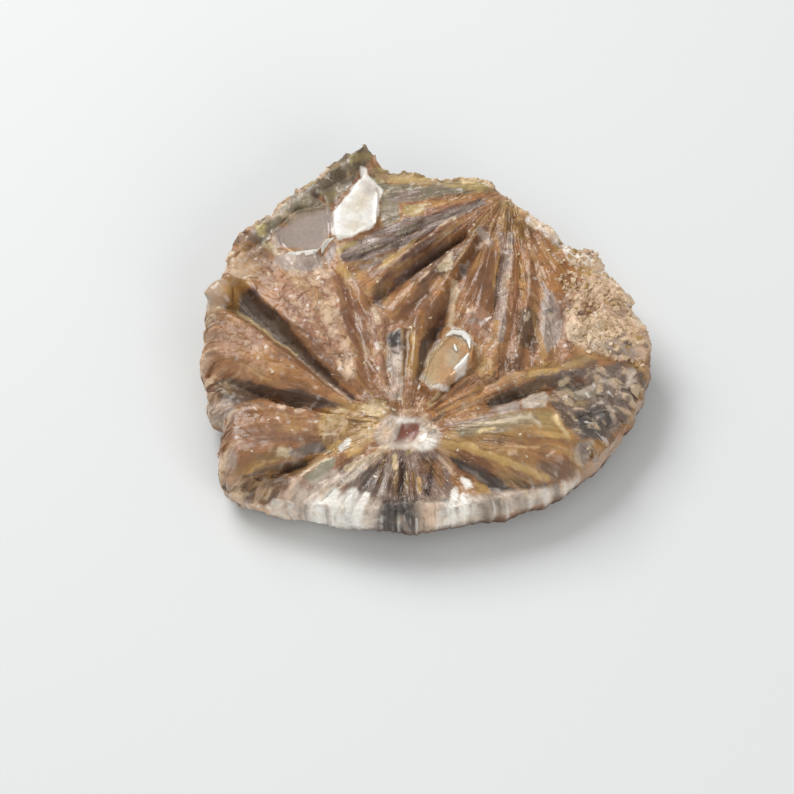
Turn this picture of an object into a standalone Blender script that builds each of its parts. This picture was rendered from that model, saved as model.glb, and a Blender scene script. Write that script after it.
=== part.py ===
"""A hand-sized gypsum specimen: a flat fragment of blades that radiate from two centres, grown together as one piece.

+X is to the right, +Y runs from the near rim to the far rim, +Z is up. The origin is under the middle of the
specimen, on the flat broken underside that it rests on. Sizes in the tables are in millimetres.
"""

import math
import random

import bmesh
import bpy
from mathutils import Matrix, Vector, noise
from mathutils.bvhtree import BVHTree
from mathutils.geometry import delaunay_2d_cdt

MM = 0.001
SEED = 7

# The two centres that the blades radiate from, in plan.
MAIN_FOCUS = Vector((-2.0, -13.4))
FAR_FOCUS = Vector((9.6, 18.0))

# Moves the middle of the finished specimen over the origin.
CENTRE_SHIFT = (-0.345, -0.03, 0.0)

# The upper edge in plan with its height there, anticlockwise from the right-hand side.
RIM_LINE = [
    (24.1, -2.4, 6.0), (23.8, 0.8, 7.0), (22.4, 3.2, 7.6), (21.4, 6.1, 8.0), (18.7, 8.9, 8.1), (16.9, 10.0, 8.2),
    (14.7, 12.5, 8.3), (11.6, 15.4, 8.6), (8.8, 17.2, 9.1), (7.6, 18.8, 9.3), (5.6, 19.6, 9.6), (2.7, 19.3, 9.5),
    (-1.9, 20.6, 9.2), (-4.4, 21.0, 9.0), (-5.8, 23.0, 9.9), (-7.8, 22.8, 9.6), (-10.7, 20.6, 9.2),
    (-14.0, 17.8, 8.8), (-17.2, 14.8, 8.5), (-20.2, 12.2, 8.2), (-21.2, 9.6, 8.2), (-21.4, 7.4, 7.9),
    (-22.6, 5.6, 7.6), (-23.2, 3.4, 7.6), (-22.9, -0.4, 7.6), (-23.6, -2.6, 7.2), (-22.6, -6.2, 6.2),
    (-22.5, -8.6, 5.6), (-20.8, -9.8, 6.6), (-21.3, -13.6, 6.8), (-21.7, -16.8, 6.0), (-20.6, -18.3, 5.2),
    (-17.4, -19.8, 5.1), (-11.7, -21.4, 5.8), (-9.1, -22.0, 6.0), (-2.6, -22.9, 6.3), (2.0, -22.5, 6.3),
    (5.9, -21.7, 6.2), (9.8, -20.6, 6.2), (13.1, -19.4, 6.0), (16.4, -17.0, 6.1), (19.6, -13.6, 6.0),
    (21.4, -10.8, 5.8), (23.0, -8.2, 5.6), (23.9, -5.3, 5.7),
]

# How far the broken rim stands out beyond that edge, by direction in degrees from +X.
RIM_BULGE = {0: 0.5, 30: 0.4, 60: 0.35, 90: 0.3, 105: 0.15, 120: 0.45, 150: 0.6, 180: 0.6, 210: 0.7, 240: 0.5,
             270: 0.4, 300: 0.4, 330: 0.5, 360: 0.5}
OUTLINE_SAMPLES = 112
EDGE_SHARE = 0.985

# The side wall and the underside, below the upper edge: share of the outline, share of the edge's height, and how
# far the blades' broken ends stand in or out there.
WALL_RINGS = [
    (0.998, 0.84, 0.35),
    (1.000, 0.56, 0.50),
    (0.985, 0.32, 0.60),
    (0.940, 0.17, 0.80),
    (0.800, 0.10, 1.00),
    (0.610, 0.06, 1.20),
    (0.480, 0.00, 1.50),
]
WALL_BLOCKS = 30
UNDERSIDE_RELIEF = 0.55

# The crests, edges and groove floors of the upper side, each a line of (x, y, height).
SURFACE_LINES = {
    # The broad blades left of the main centre, from the far side to the near side
    "second_blade_near_edge": [(-7.2, -9.1, 8.2), (-9.4, -6.8, 8.7), (-11.3, -4.9, 9.0), (-13.0, -2.5, 9.2),
                               (-15.4, 0.9, 9.3), (-16.7, 2.3, 9.2), (-19.0, 5.0, 8.9), (-19.9, 6.5, 8.4)],
    "deep_groove_floor": [(-7.7, -9.2, 7.4), (-10.1, -7.0, 6.9), (-12.3, -4.4, 6.6), (-13.9, -2.3, 6.3),
                          (-16.2, 0.6, 6.0), (-18.6, 3.3, 5.9), (-20.4, 5.6, 6.1)],
    "left_blade_crest": [(-8.0, -9.9, 8.2), (-10.9, -7.9, 8.8), (-14.0, -5.2, 9.3), (-15.9, -3.4, 9.5),
                         (-18.0, -1.5, 9.6), (-20.3, 0.7, 9.4), (-21.9, 2.0, 9.0)],
    "left_blade_fold": [(-9.3, -10.2, 7.9), (-12.9, -8.4, 8.5), (-16.7, -7.0, 8.7), (-19.9, -5.1, 8.7),
                        (-22.4, -3.2, 8.4)],
    "left_blade_near_edge": [(-8.8, -10.7, 7.6), (-12.1, -9.4, 8.0), (-16.0, -8.0, 8.0), (-19.9, -6.3, 7.9),
                             (-22.3, -4.9, 7.6)],
    "second_groove_floor": [(-9.6, -10.9, 6.8), (-13.2, -9.8, 6.2), (-15.9, -8.7, 6.0), (-18.6, -7.2, 6.1),
                            (-22.2, -5.7, 6.2)],
    "olive_rib": [(-16.0, -9.5, 6.8), (-18.5, -8.6, 7.1), (-22.0, -7.2, 6.8)],
    "flat_blade_far_edge": [(-10.4, -11.2, 7.6), (-12.8, -11.0, 8.1), (-15.0, -10.5, 8.4), (-17.2, -9.9, 8.6),
                            (-19.2, -10.2, 8.5), (-20.5, -11.2, 8.1)],
    "flat_blade_fold": [(-10.9, -12.3, 7.9), (-15.0, -12.8, 8.3), (-18.3, -13.1, 8.5), (-20.8, -13.6, 8.2)],
    "flat_blade_crest": [(-10.8, -13.9, 8.0), (-12.3, -14.7, 8.3), (-15.0, -16.2, 8.7), (-17.6, -16.7, 8.8),
                         (-20.2, -16.9, 8.5)],
    "flat_blade_near_edge": [(-11.2, -14.6, 7.3), (-14.7, -16.9, 7.2), (-17.8, -17.7, 7.0), (-20.6, -18.1, 6.6)],
    "third_groove_floor": [(-10.4, -15.2, 6.8), (-12.0, -16.0, 6.0), (-15.0, -17.4, 5.5), (-18.0, -18.3, 5.4),
                           (-20.4, -18.7, 5.2)],
    "low_blade_crest": [(-12.4, -17.1, 6.3), (-15.2, -18.3, 6.3), (-18.2, -19.0, 6.0)],
    "lens_crest": [(-9.5, -16.3, 7.6), (-12.4, -17.9, 7.2), (-14.9, -19.5, 6.3)],
    "lens_near_edge": [(-9.0, -17.0, 7.0), (-11.8, -19.0, 6.6), (-14.0, -20.4, 5.9)],
    "rosy_groove_floor": [(-8.2, -17.8, 6.6), (-10.1, -19.7, 6.2), (-11.6, -20.9, 5.7)],
    "rosy_crest": [(-6.6, -17.4, 7.5), (-8.4, -19.8, 7.2), (-10.2, -21.4, 6.4)],
    # The blade at the lower right and its grooves
    "right_blade_crest": [(0.4, -14.5, 7.9), (2.2, -15.2, 8.4), (6.1, -16.4, 8.8), (9.0, -17.3, 8.6),
                          (11.6, -18.3, 7.8), (13.6, -18.6, 7.0)],
    "right_blade_near_edge": [(0.9, -15.3, 7.5), (3.0, -16.5, 7.5), (5.9, -17.7, 7.1), (8.6, -18.8, 6.7),
                              (12.6, -19.1, 6.4)],
    "right_groove_floor": [(1.2, -16.0, 6.9), (3.2, -17.2, 6.2), (5.4, -18.7, 5.7), (8.2, -19.6, 5.6),
                           (11.2, -19.5, 5.7)],
    "right_blade_upper_fold": [(1.8, -13.7, 8.2), (6.1, -14.2, 8.7), (9.0, -14.0, 9.0), (13.0, -14.3, 8.9),
                               (16.9, -14.9, 8.0)],
    "right_blade_fold": [(5.1, -15.1, 8.3), (9.4, -15.5, 8.5), (13.6, -16.3, 8.1), (16.8, -16.3, 7.2)],
    "right_blade_far_edge": [(1.5, -12.7, 8.1), (6.2, -11.4, 8.7), (9.4, -10.8, 8.9), (11.3, -10.5, 8.8),
                             (13.7, -11.1, 8.6), (15.2, -13.6, 8.2), (17.2, -14.0, 7.6)],
    "yellow_groove_floor": [(5.6, -10.4, 7.8), (8.0, -9.5, 7.0), (10.1, -8.5, 6.6), (13.1, -7.3, 6.5),
                            (15.6, -6.9, 6.7), (18.3, -6.4, 7.0)],
    "yellow_crest": [(5.9, -9.5, 8.4), (7.6, -8.7, 8.7), (10.1, -7.3, 9.0), (13.3, -6.2, 9.0), (15.7, -6.2, 8.5),
                     (18.8, -5.2, 8.1)],
    "yellow_back": [(6.6, -8.0, 8.2), (9.6, -5.7, 8.2), (13.5, -4.6, 8.2), (18.6, -3.6, 7.9)],
    # The narrow blades above the main centre
    "amber_crest": [(0.1, -12.2, 8.2), (2.9, -10.9, 8.6), (5.4, -9.0, 8.7)],
    "amber_low": [(-0.2, -12.8, 7.7), (2.2, -11.9, 8.0), (4.6, -10.5, 8.1)],
    "second_blade_middle": [(-7.6, -8.0, 8.7), (-11.2, -1.2, 9.5), (-14.5, 6.0, 9.6)],
    "second_blade_far_fold": [(-6.9, -7.5, 8.6), (-9.5, -1.0, 9.0), (-12.0, 6.6, 9.1)],
    "red_blade_left": [(-6.6, -8.1, 8.2), (-7.7, -2.5, 8.8), (-8.9, 4.6, 8.9)],
    "red_blade_floor": [(-5.9, -7.6, 7.6), (-6.8, -2.2, 8.0), (-8.2, 5.1, 8.2)],
    "red_blade_right": [(-5.2, -7.6, 8.2), (-6.0, -0.6, 8.8), (-7.5, 5.8, 9.0)],
    "amber_left_crest": [(-4.3, -9.5, 8.5), (-4.8, -3.5, 9.0), (-5.7, 1.6, 9.2)],
    "black_crystal_low": [(-3.6, -7.7, 7.7), (-3.8, -3.0, 8.0), (-4.1, 0.1, 8.2)],
    "black_crystal_crest": [(-2.8, -8.3, 8.6), (-2.8, -3.7, 9.3), (-2.5, -0.7, 9.5)],
    "glass_low": [(-1.9, -8.7, 8.1), (-1.9, -5.4, 8.4), (-1.7, -1.3, 8.7)],
    "hourglass_crest": [(-1.3, -8.2, 8.9), (-1.2, -5.1, 9.3), (-0.9, -1.3, 9.6), (-0.6, 2.1, 9.5)],
    "valley_left_edge": [(-0.8, -6.2, 8.7), (-0.2, -2.4, 9.0), (0.5, 1.8, 9.0), (1.5, 5.1, 9.0)],
    "valley_floor": [(-0.5, -7.2, 7.4), (0.2, -4.4, 7.0), (1.3, -0.8, 6.8), (2.3, 3.4, 7.0)],
    # The bundle of thin plates that points at the far centre
    "bundle_crest_a": [(-9.1, 9.1, 9.2), (-5.2, 10.8, 9.5), (0.7, 14.1, 9.8), (5.6, 16.0, 9.9)],
    "bundle_gap_a": [(-8.5, 8.6, 8.6), (-4.9, 10.1, 8.8), (0.7, 13.3, 9.1)],
    "bundle_crest_b": [(-8.6, 7.9, 9.2), (-4.7, 9.3, 9.5), (0.7, 12.5, 9.8), (5.8, 15.0, 9.9)],
    "bundle_gap_b": [(-7.8, 7.1, 8.6), (-4.2, 8.5, 8.8), (0.8, 11.8, 9.2)],
    "tan_plate_crest": [(-5.0, 6.9, 9.3), (-2.6, 8.8, 9.9), (-0.6, 10.4, 9.9), (2.5, 12.1, 9.9), (6.6, 14.5, 10.0)],
    "tan_plate_edge": [(-5.4, 5.4, 9.0), (-3.9, 6.7, 9.2), (-1.4, 8.9, 9.3), (0.4, 10.4, 9.5), (3.2, 11.8, 9.7),
                       (6.0, 13.4, 9.8)],
    "far_valley_floor": [(-5.0, 3.7, 7.8), (-3.2, 5.7, 7.2), (-0.9, 8.0, 7.0), (1.3, 9.9, 7.2), (3.9, 11.6, 7.6)],
    "far_valley_near_edge": [(-4.2, 2.4, 8.7), (-1.9, 5.6, 9.0), (0.3, 7.6, 9.1), (2.7, 9.6, 9.1), (5.2, 11.6, 9.3)],
    "plate_crest_a": [(-4.4, -0.1, 8.8), (-2.6, 2.6, 9.2), (-0.3, 5.6, 9.4), (2.3, 8.3, 9.3)],
    "plate_gap": [(-2.3, 0.1, 8.4), (0.2, 4.0, 8.5), (2.6, 7.5, 8.5)],
    "plate_crest_b": [(0.6, 0.8, 9.1), (2.2, 4.9, 9.4), (3.9, 8.4, 9.5), (5.5, 11.0, 9.6)],
    "dark_notch": [(2.9, 4.6, 7.7), (4.3, 7.5, 7.8), (6.0, 10.6, 8.3)],
    "brown_blade_left": [(3.4, 0.2, 9.0), (4.9, 4.1, 9.3), (6.1, 7.5, 9.5), (7.2, 10.6, 9.7)],
    "brown_blade_middle": [(5.0, 0.3, 8.9), (6.4, 4.4, 9.2), (7.5, 8.2, 9.4), (8.3, 11.8, 9.5)],
    "brown_blade_gap": [(6.4, -3.1, 8.2), (7.4, 0.5, 8.3), (8.1, 4.0, 8.3), (8.8, 8.6, 8.6)],
    "lamella_a": [(7.2, -6.6, 8.9), (8.4, -1.2, 9.4), (9.4, 4.9, 9.6), (9.6, 10.6, 9.7)],
    "lamella_a_gap": [(8.7, -5.3, 8.2), (9.8, 0.0, 8.4), (10.5, 5.2, 8.6), (10.4, 9.6, 9.0)],
    "lamella_b": [(10.0, -5.0, 8.9), (11.1, 0.0, 9.3), (11.6, 4.1, 9.5), (11.3, 9.0, 9.6)],
    "lamella_b_gap": [(11.4, -3.8, 8.0), (12.3, 0.1, 8.2), (12.7, 3.8, 8.4), (12.2, 8.1, 8.8)],
    "lamella_c": [(12.8, -3.7, 8.8), (13.3, 0.3, 8.9), (13.8, 3.6, 9.0), (13.2, 7.6, 9.2)],
    "lamella_d_gap": [(14.7, -2.3, 8.0), (15.3, 1.2, 8.0), (15.4, 4.8, 8.3)],
    "lamella_d": [(16.6, -1.9, 8.6), (17.1, 1.0, 8.6), (16.7, 4.6, 8.8), (15.0, 8.1, 8.9)],
    "far_blade_crest": [(-4.4, 18.4, 9.6), (-1.5, 18.7, 9.9), (1.8, 18.0, 10.1), (5.9, 17.4, 10.2)],
    "far_blade_gap": [(-4.0, 16.3, 9.0), (-0.4, 16.5, 9.1), (2.9, 16.2, 9.3)],
    "orange_streak": [(-2.4, 14.4, 9.5), (1.0, 15.4, 9.8), (4.0, 15.9, 10.0)],
}

# The part of the upper side whose thin crystals point at the far centre, and the granular part at the right rim.
FAR_ZONE = [(-9.4, 9.4), (-5.2, 2.4), (-2.6, -0.4), (2.4, -1.0), (6.4, -7.4), (13.0, -5.0), (16.4, -3.0), (17.8, 4.0),
            (15.4, 9.4), (11.0, 15.8), (7.6, 19.4), (-4.6, 21.6), (-8.0, 13.0)]
GRANULAR_ZONE = [(14.6, -10.4), (17.4, -14.6), (21.0, -12.4), (25.0, -4.0), (24.0, 4.0), (17.0, 11.0), (15.8, 9.4),
                 (18.0, 4.0), (16.8, -3.0), (19.0, -5.0), (18.6, -6.8)]

# Thin crystals over the whole upper side: angle between rays, spacing along a ray, how far they stand up or in.
RAY_STEP = 4.0
RAY_SPACING = 2.0
RAY_RELIEF = 0.32
GRAIN_SPACING = 1.15
GRAIN_RELIEF = 0.55

# Flat plates, each a prism: corners in plan, height of its top at the first corner and halfway round, underside.
PLATES = {
    "clear_plate": ([(-15.7, 10.6), (-16.2, 12.6), (-13.9, 15.0), (-10.4, 15.6), (-10.2, 11.4), (-11.4, 9.5),
                     (-13.8, 9.1)], 9.4, 9.8, 6.0),
    "bright_plate": ([(-9.7, 11.3), (-9.9, 14.6), (-6.2, 20.0), (-4.9, 17.2), (-5.1, 12.9), (-8.0, 11.2)],
                     9.9, 10.3, 6.0),
    "clear_flake": ([(-0.4, -8.6), (0.6, -4.9), (3.4, -1.3), (5.1, -1.6), (5.6, -4.4), (3.3, -7.4), (1.0, -9.2)],
                    9.7, 10.2, 6.0),
}

# The crust that stands along the far left rim: a string of blocks, each x, y, length, width, top, turn.
CRUST_ROOT = 3.0
CRUST_CORNERS = 26
CRUST = [
    (-19.0, 12.0, 4.4, 2.4, 9.0, 42),
    (-17.0, 13.8, 4.6, 2.6, 9.4, 46),
    (-14.8, 15.6, 4.6, 2.4, 9.7, 40),
    (-12.6, 17.3, 5.0, 2.6, 10.1, 36),
    (-10.4, 19.0, 4.6, 2.4, 10.3, 42),
    (-8.7, 20.5, 4.4, 2.4, 10.7, 40),
    (-7.2, 21.8, 4.0, 2.4, 11.2, 33),
]

# Stretches of the rim that carry small rounded lumps: first and last share of the outline's points, count, size.
LUMPY_RIMS = [
    (0.00, 0.17, 26, 1.45),
    (0.45, 0.58, 9, 1.25),
    (0.60, 0.74, 14, 1.20),
    (0.74, 0.86, 9, 0.95),
    (0.90, 1.00, 12, 1.25),
]
KNOB = (-22.2, 4.7, 8.1, 2.0)

# The small angular pit at the main centre: its mouth in plan, the heights of its mouth and floor, and how much
# smaller the floor is.
PIT_MOUTH = [(-2.3, -12.3), (-0.3, -12.4), (-0.5, -13.8), (-1.3, -15.0), (-3.2, -15.2), (-2.8, -13.6)]
PIT_HEIGHTS = (9.5, 7.1)
PIT_TAPER = 0.75


def bulge_towards(x, y):
    """How far the rim stands out in the direction of a place."""
    angle = math.degrees(math.atan2(y, x)) % 360
    low = max(key for key in RIM_BULGE if key <= angle)
    high = min(key for key in RIM_BULGE if key > angle)
    return RIM_BULGE[low] + (RIM_BULGE[high] - RIM_BULGE[low]) * (angle - low) / (high - low)


def bulged_outline():
    """The corners of the outline: the rim line moved outward, to a tenth of a millimetre."""
    corners = []
    for k, (x, y, height) in enumerate(RIM_LINE):
        x0, y0, _ = RIM_LINE[k - 1]
        x1, y1, _ = RIM_LINE[(k + 1) % len(RIM_LINE)]
        share = bulge_towards(x, y) / math.hypot(x1 - x0, y1 - y0)
        corners.append(Vector((round(x + (y1 - y0) * share, 1), round(y - (x1 - x0) * share, 1), height)))
    return corners


def smooth_outline(samples):
    """The outline as evenly numbered points of a closed Catmull-Rom curve through its corners."""
    corners = bulged_outline()
    count = len(corners)
    points = []
    for k in range(samples):
        place = k * count / samples
        i = int(place)
        t = place - i
        p0, p1, p2, p3 = (corners[(i + step) % count] for step in (-1, 0, 1, 2))
        start_pull = (p2 - p0) / 2
        end_pull = (p3 - p1) / 2
        curve = 2 * (p1 - p2) + start_pull + end_pull
        bend = 3 * (p2 - p1) - 2 * start_pull - end_pull
        points.append(p1 + start_pull * t + bend * t * t + curve * t**3)
    return points


def inside(x, y, polygon):
    """Whether a place in plan is inside a polygon."""
    found = False
    for (x0, y0), (x1, y1) in zip(polygon, polygon[1:] + polygon[:1]):
        if (y0 > y) != (y1 > y) and x < x0 + (x1 - x0) * (y - y0) / (y1 - y0):
            found = not found
    return found


class Surface:
    """Points and lines of the upper side in plan, with their heights, that are filled in with triangles."""

    def __init__(self, edge):
        self.points = [point.copy() for point in edge]
        self.edges = [(k, (k + 1) % len(edge)) for k in range(len(edge))]
        self.border = [(point.x, point.y) for point in edge]
        self.limit = [(point.x * 0.975, point.y * 0.975) for point in edge]
        self.edge_count = len(edge)

    def near(self, point, distance):
        for k, other in enumerate(self.points):
            if (other.xy - point.xy).length < distance:
                return k
        return None

    def crosses(self, start, end):
        """Whether a new line in plan would cross one that is there already."""
        def side(a, b, c):
            return (b.x - a.x) * (c.y - a.y) - (b.y - a.y) * (c.x - a.x)

        for i, j in self.edges:
            a, b = self.points[i], self.points[j]
            if side(a, b, start) * side(a, b, end) < 0 and side(start, end, a) * side(start, end, b) < 0:
                return True
        return False

    def add_line(self, places, merge):
        """Adds a line of points; a point close to one that is there already is joined to it."""
        before = None
        for place in places:
            if not inside(place.x, place.y, self.limit):
                before = None
                continue
            index = self.near(place, merge)
            if index is None:
                index = len(self.points)
                self.points.append(place)
            if before is not None and before != index and not self.crosses(self.points[before], self.points[index]):
                self.edges.append((before, index))
            before = index

    def triangles(self):
        flat = [point.xy for point in self.points]
        places, _, faces, origins, _, _ = delaunay_2d_cdt(flat, self.edges, [], 0, 1e-5)
        heights = [self.points[origin[0]].z if origin else None for origin in origins]
        corners = [Vector((place.x, place.y, height or 0.0)) for place, height in zip(places, heights)]
        for k, height in enumerate(heights):
            if height is None:
                around = [heights[i] for face in faces if k in face for i in face if heights[i] is not None]
                corners[k].z = sum(around) / len(around)
        kept = []
        for face in faces:
            middle = sum((corners[i] for i in face), Vector()) / len(face)
            if inside(middle.x, middle.y, self.border):
                kept.append(list(face))
        first = {origin[0]: k for k, origin in enumerate(origins) if origin}
        return corners, kept, [first[k] for k in range(self.edge_count)]


def worn_line(points, spacing, draw):
    """A line cut into short pieces whose ends are a little off it, as a broken crystal edge is."""
    places = []
    for start, end in zip(points, points[1:]):
        start, end = Vector(start), Vector(end)
        steps = max(1, round((end - start).length / spacing))
        for k in range(steps):
            off = Vector((draw.uniform(-0.1, 0.1), draw.uniform(-0.1, 0.1), draw.uniform(-0.12, 0.12)))
            places.append(start.lerp(end, k / steps) + (off if k else Vector()))
    places.append(Vector(points[-1]))
    return places


def block_offsets(samples, draw):
    """A value from -1 to 1 for each place round the outline, the same over each broken block of the wall."""
    ends = sorted(draw.sample(range(samples), WALL_BLOCKS))
    values = [draw.uniform(-1, 1) for _ in ends]
    offsets = []
    for k in range(samples):
        passed = sum(1 for end in ends if end <= k)
        offsets.append(values[passed % WALL_BLOCKS])
    return offsets


def height_over(tree, x, y, fallback):
    hit = tree.ray_cast(Vector((x, y, 50.0)), Vector((0, 0, -1)))[0]
    return hit.z if hit else fallback


def thin_crystal_rays(tree, draw):
    """Rays of points from each centre; each stands a little above or below its neighbours, in steps."""
    rays = []
    for focus, is_far in ((MAIN_FOCUS, False), (FAR_FOCUS, True)):
        count = round(360 / RAY_STEP)
        for k in range(count):
            angle = math.tau * (k + draw.uniform(-0.25, 0.25)) / count
            along = Vector((math.cos(angle), math.sin(angle)))
            radius = 2.4 + draw.uniform(0, 1.5)
            level = RAY_RELIEF if k % 2 else -RAY_RELIEF * 0.6
            ray = []
            while radius < 46:
                place = focus + along * radius
                own = inside(place.x, place.y, FAR_ZONE) == is_far and not inside(place.x, place.y, GRANULAR_ZONE)
                if own:
                    if draw.random() < 0.22:
                        level = -level * draw.uniform(0.6, 1.2)
                    height = height_over(tree, place.x, place.y, 7.0) + level + draw.uniform(-0.06, 0.06)
                    ray.append(Vector((place.x, place.y, height)))
                elif ray:
                    rays.append(ray)
                    ray = []
                radius += RAY_SPACING * draw.uniform(0.7, 1.3)
            if ray:
                rays.append(ray)
    return rays


def grains(tree, draw):
    """Scattered points of the granular zone, each its own small ledge."""
    places = []
    x = 14.0
    while x < 25.0:
        y = -15.0
        while y < 12.0:
            spot = (x + draw.uniform(-0.5, 0.5), y + draw.uniform(-0.5, 0.5))
            if inside(*spot, GRANULAR_ZONE):
                height = height_over(tree, *spot, 7.0) + draw.uniform(-GRAIN_RELIEF, GRAIN_RELIEF)
                places.append(Vector((*spot, height)))
            y += GRAIN_SPACING
        x += GRAIN_SPACING
    return places


def new_mesh_object(name, bm, collection):
    """A flat-faced mesh object made from a bmesh that is in millimetres."""
    bmesh.ops.translate(bm, vec=CENTRE_SHIFT, verts=bm.verts)
    bmesh.ops.scale(bm, vec=(MM, MM, MM), verts=bm.verts)
    bmesh.ops.recalc_face_normals(bm, faces=bm.faces)
    mesh = bpy.data.meshes.new(name)
    bm.to_mesh(mesh)
    bm.free()
    obj = bpy.data.objects.new(name, mesh)
    collection.objects.link(obj)
    return obj


def hull_object(name, points, collection):
    """A crystal with flat faces: the convex hull of its corners."""
    bm = bmesh.new()
    for point in points:
        bm.verts.new(point)
    bmesh.ops.convex_hull(bm, input=bm.verts)
    within = [vert for vert in bm.verts if not vert.link_faces]
    bmesh.ops.delete(bm, geom=within, context="VERTS")
    return new_mesh_object(name, bm, collection)


def make_body(collection):
    """The upper side's crests and grooves filled in with facets, closed by the side wall and the flat base."""
    draw = random.Random(SEED)
    outline = smooth_outline(OUTLINE_SAMPLES)
    edge = []
    for point in outline:
        edge.append(Vector((point.x * EDGE_SHARE, point.y * EDGE_SHARE, point.z + draw.uniform(-0.25, 0.25))))

    surface = Surface(edge)
    for line in SURFACE_LINES.values():
        surface.add_line(worn_line(line, 1.9, draw), 0.3)
    corners, faces, _ = surface.triangles()
    tree = BVHTree.FromPolygons(corners, faces)
    for ray in thin_crystal_rays(tree, draw):
        kept = [place for place in ray if surface.near(place, 0.62) is None]
        surface.add_line(kept, 0.3)
    for place in grains(tree, draw):
        if surface.near(place, 0.7) is None:
            surface.add_line([place], 0.3)
    corners, faces, ring = surface.triangles()

    bm = bmesh.new()
    verts = [bm.verts.new(corner) for corner in corners]
    for face in faces:
        bm.faces.new([verts[i] for i in face])
    loose = [vert for vert in verts if not vert.link_faces]
    above = [verts[i] for i in ring]
    upper_blocks = block_offsets(len(outline), draw)
    lower_blocks = block_offsets(len(outline), draw)
    for share, level, rough in WALL_RINGS:
        below = []
        for k, point in enumerate(outline):
            block = upper_blocks[k] * level + lower_blocks[k] * (1 - level)
            rib = noise.noise(Vector((k * 0.9, 3.0, level))) * rough + block * rough * 0.7
            plan = Vector((point.x, point.y)) * share
            plan += plan.normalized() * rib
            lift = noise.noise(Vector((plan.x * 0.3, plan.y * 0.3, 5.0))) + lower_blocks[k]
            height = max(point.z * level + lift * UNDERSIDE_RELIEF, 0.08) if level else 0.0
            below.append(bm.verts.new((plan.x, plan.y, height)))
        for k in range(len(outline)):
            after = (k + 1) % len(outline)
            bm.faces.new((above[k], below[k], below[after], above[after]))
        above = below
    bm.faces.new(above)
    bmesh.ops.delete(bm, geom=loose, context="VERTS")
    return new_mesh_object("gypsum_specimen", bm, collection)


def make_plates(collection):
    for name, (corners, first_top, middle_top, underside) in PLATES.items():
        half = len(corners) / 2
        points = []
        for k, (x, y) in enumerate(corners):
            top = first_top + (middle_top - first_top) * min(k, len(corners) - k) / half
            points += [(x, y, top), (x, y, underside)]
        hull_object(name, points, collection)


def make_crust(collection):
    draw = random.Random(SEED + 1)
    for number, (x, y, length, width, top, turn) in enumerate(CRUST):
        spin = Matrix.Rotation(math.radians(turn), 3, "Z")
        half = Vector((length / 2, width / 2, (top - CRUST_ROOT) / 2))
        points = []
        for _ in range(CRUST_CORNERS):
            reach = Vector([draw.uniform(-1, 1) for _ in range(3)])
            reach /= max(abs(value) for value in reach) ** 0.8
            corner = spin @ Vector([a * b for a, b in zip(reach, half)])
            points.append(corner + Vector((x, y, (top + CRUST_ROOT) / 2)))
        hull_object(f"crust_block_{number}", points, collection)


def add_lump(name, centre, radius, draw, collection):
    bm = bmesh.new()
    bmesh.ops.create_icosphere(bm, subdivisions=1, radius=radius)
    for vert in bm.verts:
        vert.co *= draw.uniform(0.8, 1.2)
    spin = Matrix.Rotation(draw.uniform(0, math.tau), 3, "Z") @ Matrix.Rotation(draw.uniform(0, math.tau), 3, "X")
    bmesh.ops.rotate(bm, cent=(0, 0, 0), matrix=spin, verts=bm.verts)
    bmesh.ops.translate(bm, vec=centre, verts=bm.verts)
    new_mesh_object(name, bm, collection)


def make_lumps(collection):
    """The granular rim: small lumps of crystal sunk into the shoulder of the body."""
    draw = random.Random(SEED + 2)
    outline = smooth_outline(OUTLINE_SAMPLES)
    for stretch, (first, last, count, size) in enumerate(LUMPY_RIMS):
        for number in range(count):
            place = first + (last - first) * (number + draw.uniform(0.2, 0.8)) / count
            point = outline[int(place * OUTLINE_SAMPLES) % OUTLINE_SAMPLES]
            inset = draw.uniform(0.88, 0.965)
            height = point.z * draw.uniform(0.66, 1.02)
            centre = (point.x * inset, point.y * inset, height)
            add_lump(f"rim_lump_{stretch}_{number:02d}", centre, size * draw.uniform(0.7, 1.25), draw, collection)
    x, y, z, radius = KNOB
    add_lump("end_knob", (x, y, z), radius, draw, collection)


def make_pit(collection):
    mouth, floor = PIT_HEIGHTS
    middle = sum((Vector(corner) for corner in PIT_MOUTH), Vector((0.0, 0.0))) / len(PIT_MOUTH)
    points = []
    for x, y in PIT_MOUTH:
        inner = middle.lerp(Vector((x, y)), PIT_TAPER)
        points += [(x, y, mouth), (inner.x, inner.y, floor)]
    return hull_object("pit_cutter", points, collection)


def gypsum_material():
    material = bpy.data.materials.new("amber_gypsum")
    material.use_nodes = True
    shader = material.node_tree.nodes["Principled BSDF"]
    shader.inputs["Base Color"].default_value = (0.38, 0.19, 0.085, 1.0)
    shader.inputs["Roughness"].default_value = 0.35
    shader.inputs["Metallic"].default_value = 0.0
    shader.inputs["IOR"].default_value = 1.52
    shader.inputs["Subsurface Weight"].default_value = 0.25
    shader.inputs["Subsurface Scale"].default_value = 1.5 * MM
    return material


def as_helper(obj):
    obj.hide_render = True
    obj.display_type = "WIRE"


def main():
    for obj in list(bpy.data.objects):
        bpy.data.objects.remove(obj)
    scene = bpy.context.scene
    parts = bpy.data.collections.new("gypsum_specimen")
    crystals = bpy.data.collections.new("crystals_to_fuse")
    cutters = bpy.data.collections.new("cutters")
    for collection in (parts, crystals, cutters):
        scene.collection.children.link(collection)

    body = make_body(parts)
    body.data.materials.append(gypsum_material())
    make_plates(crystals)
    make_crust(crystals)
    make_lumps(crystals)
    pit = make_pit(cutters)
    for helper in [*crystals.objects, pit]:
        as_helper(helper)

    fuse = body.modifiers.new("fuse_crystals", "BOOLEAN")
    fuse.operation = "UNION"
    fuse.operand_type = "COLLECTION"
    fuse.collection = crystals
    cut = body.modifiers.new("cut_pit", "BOOLEAN")
    cut.operation = "DIFFERENCE"
    cut.object = pit


main()
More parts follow.
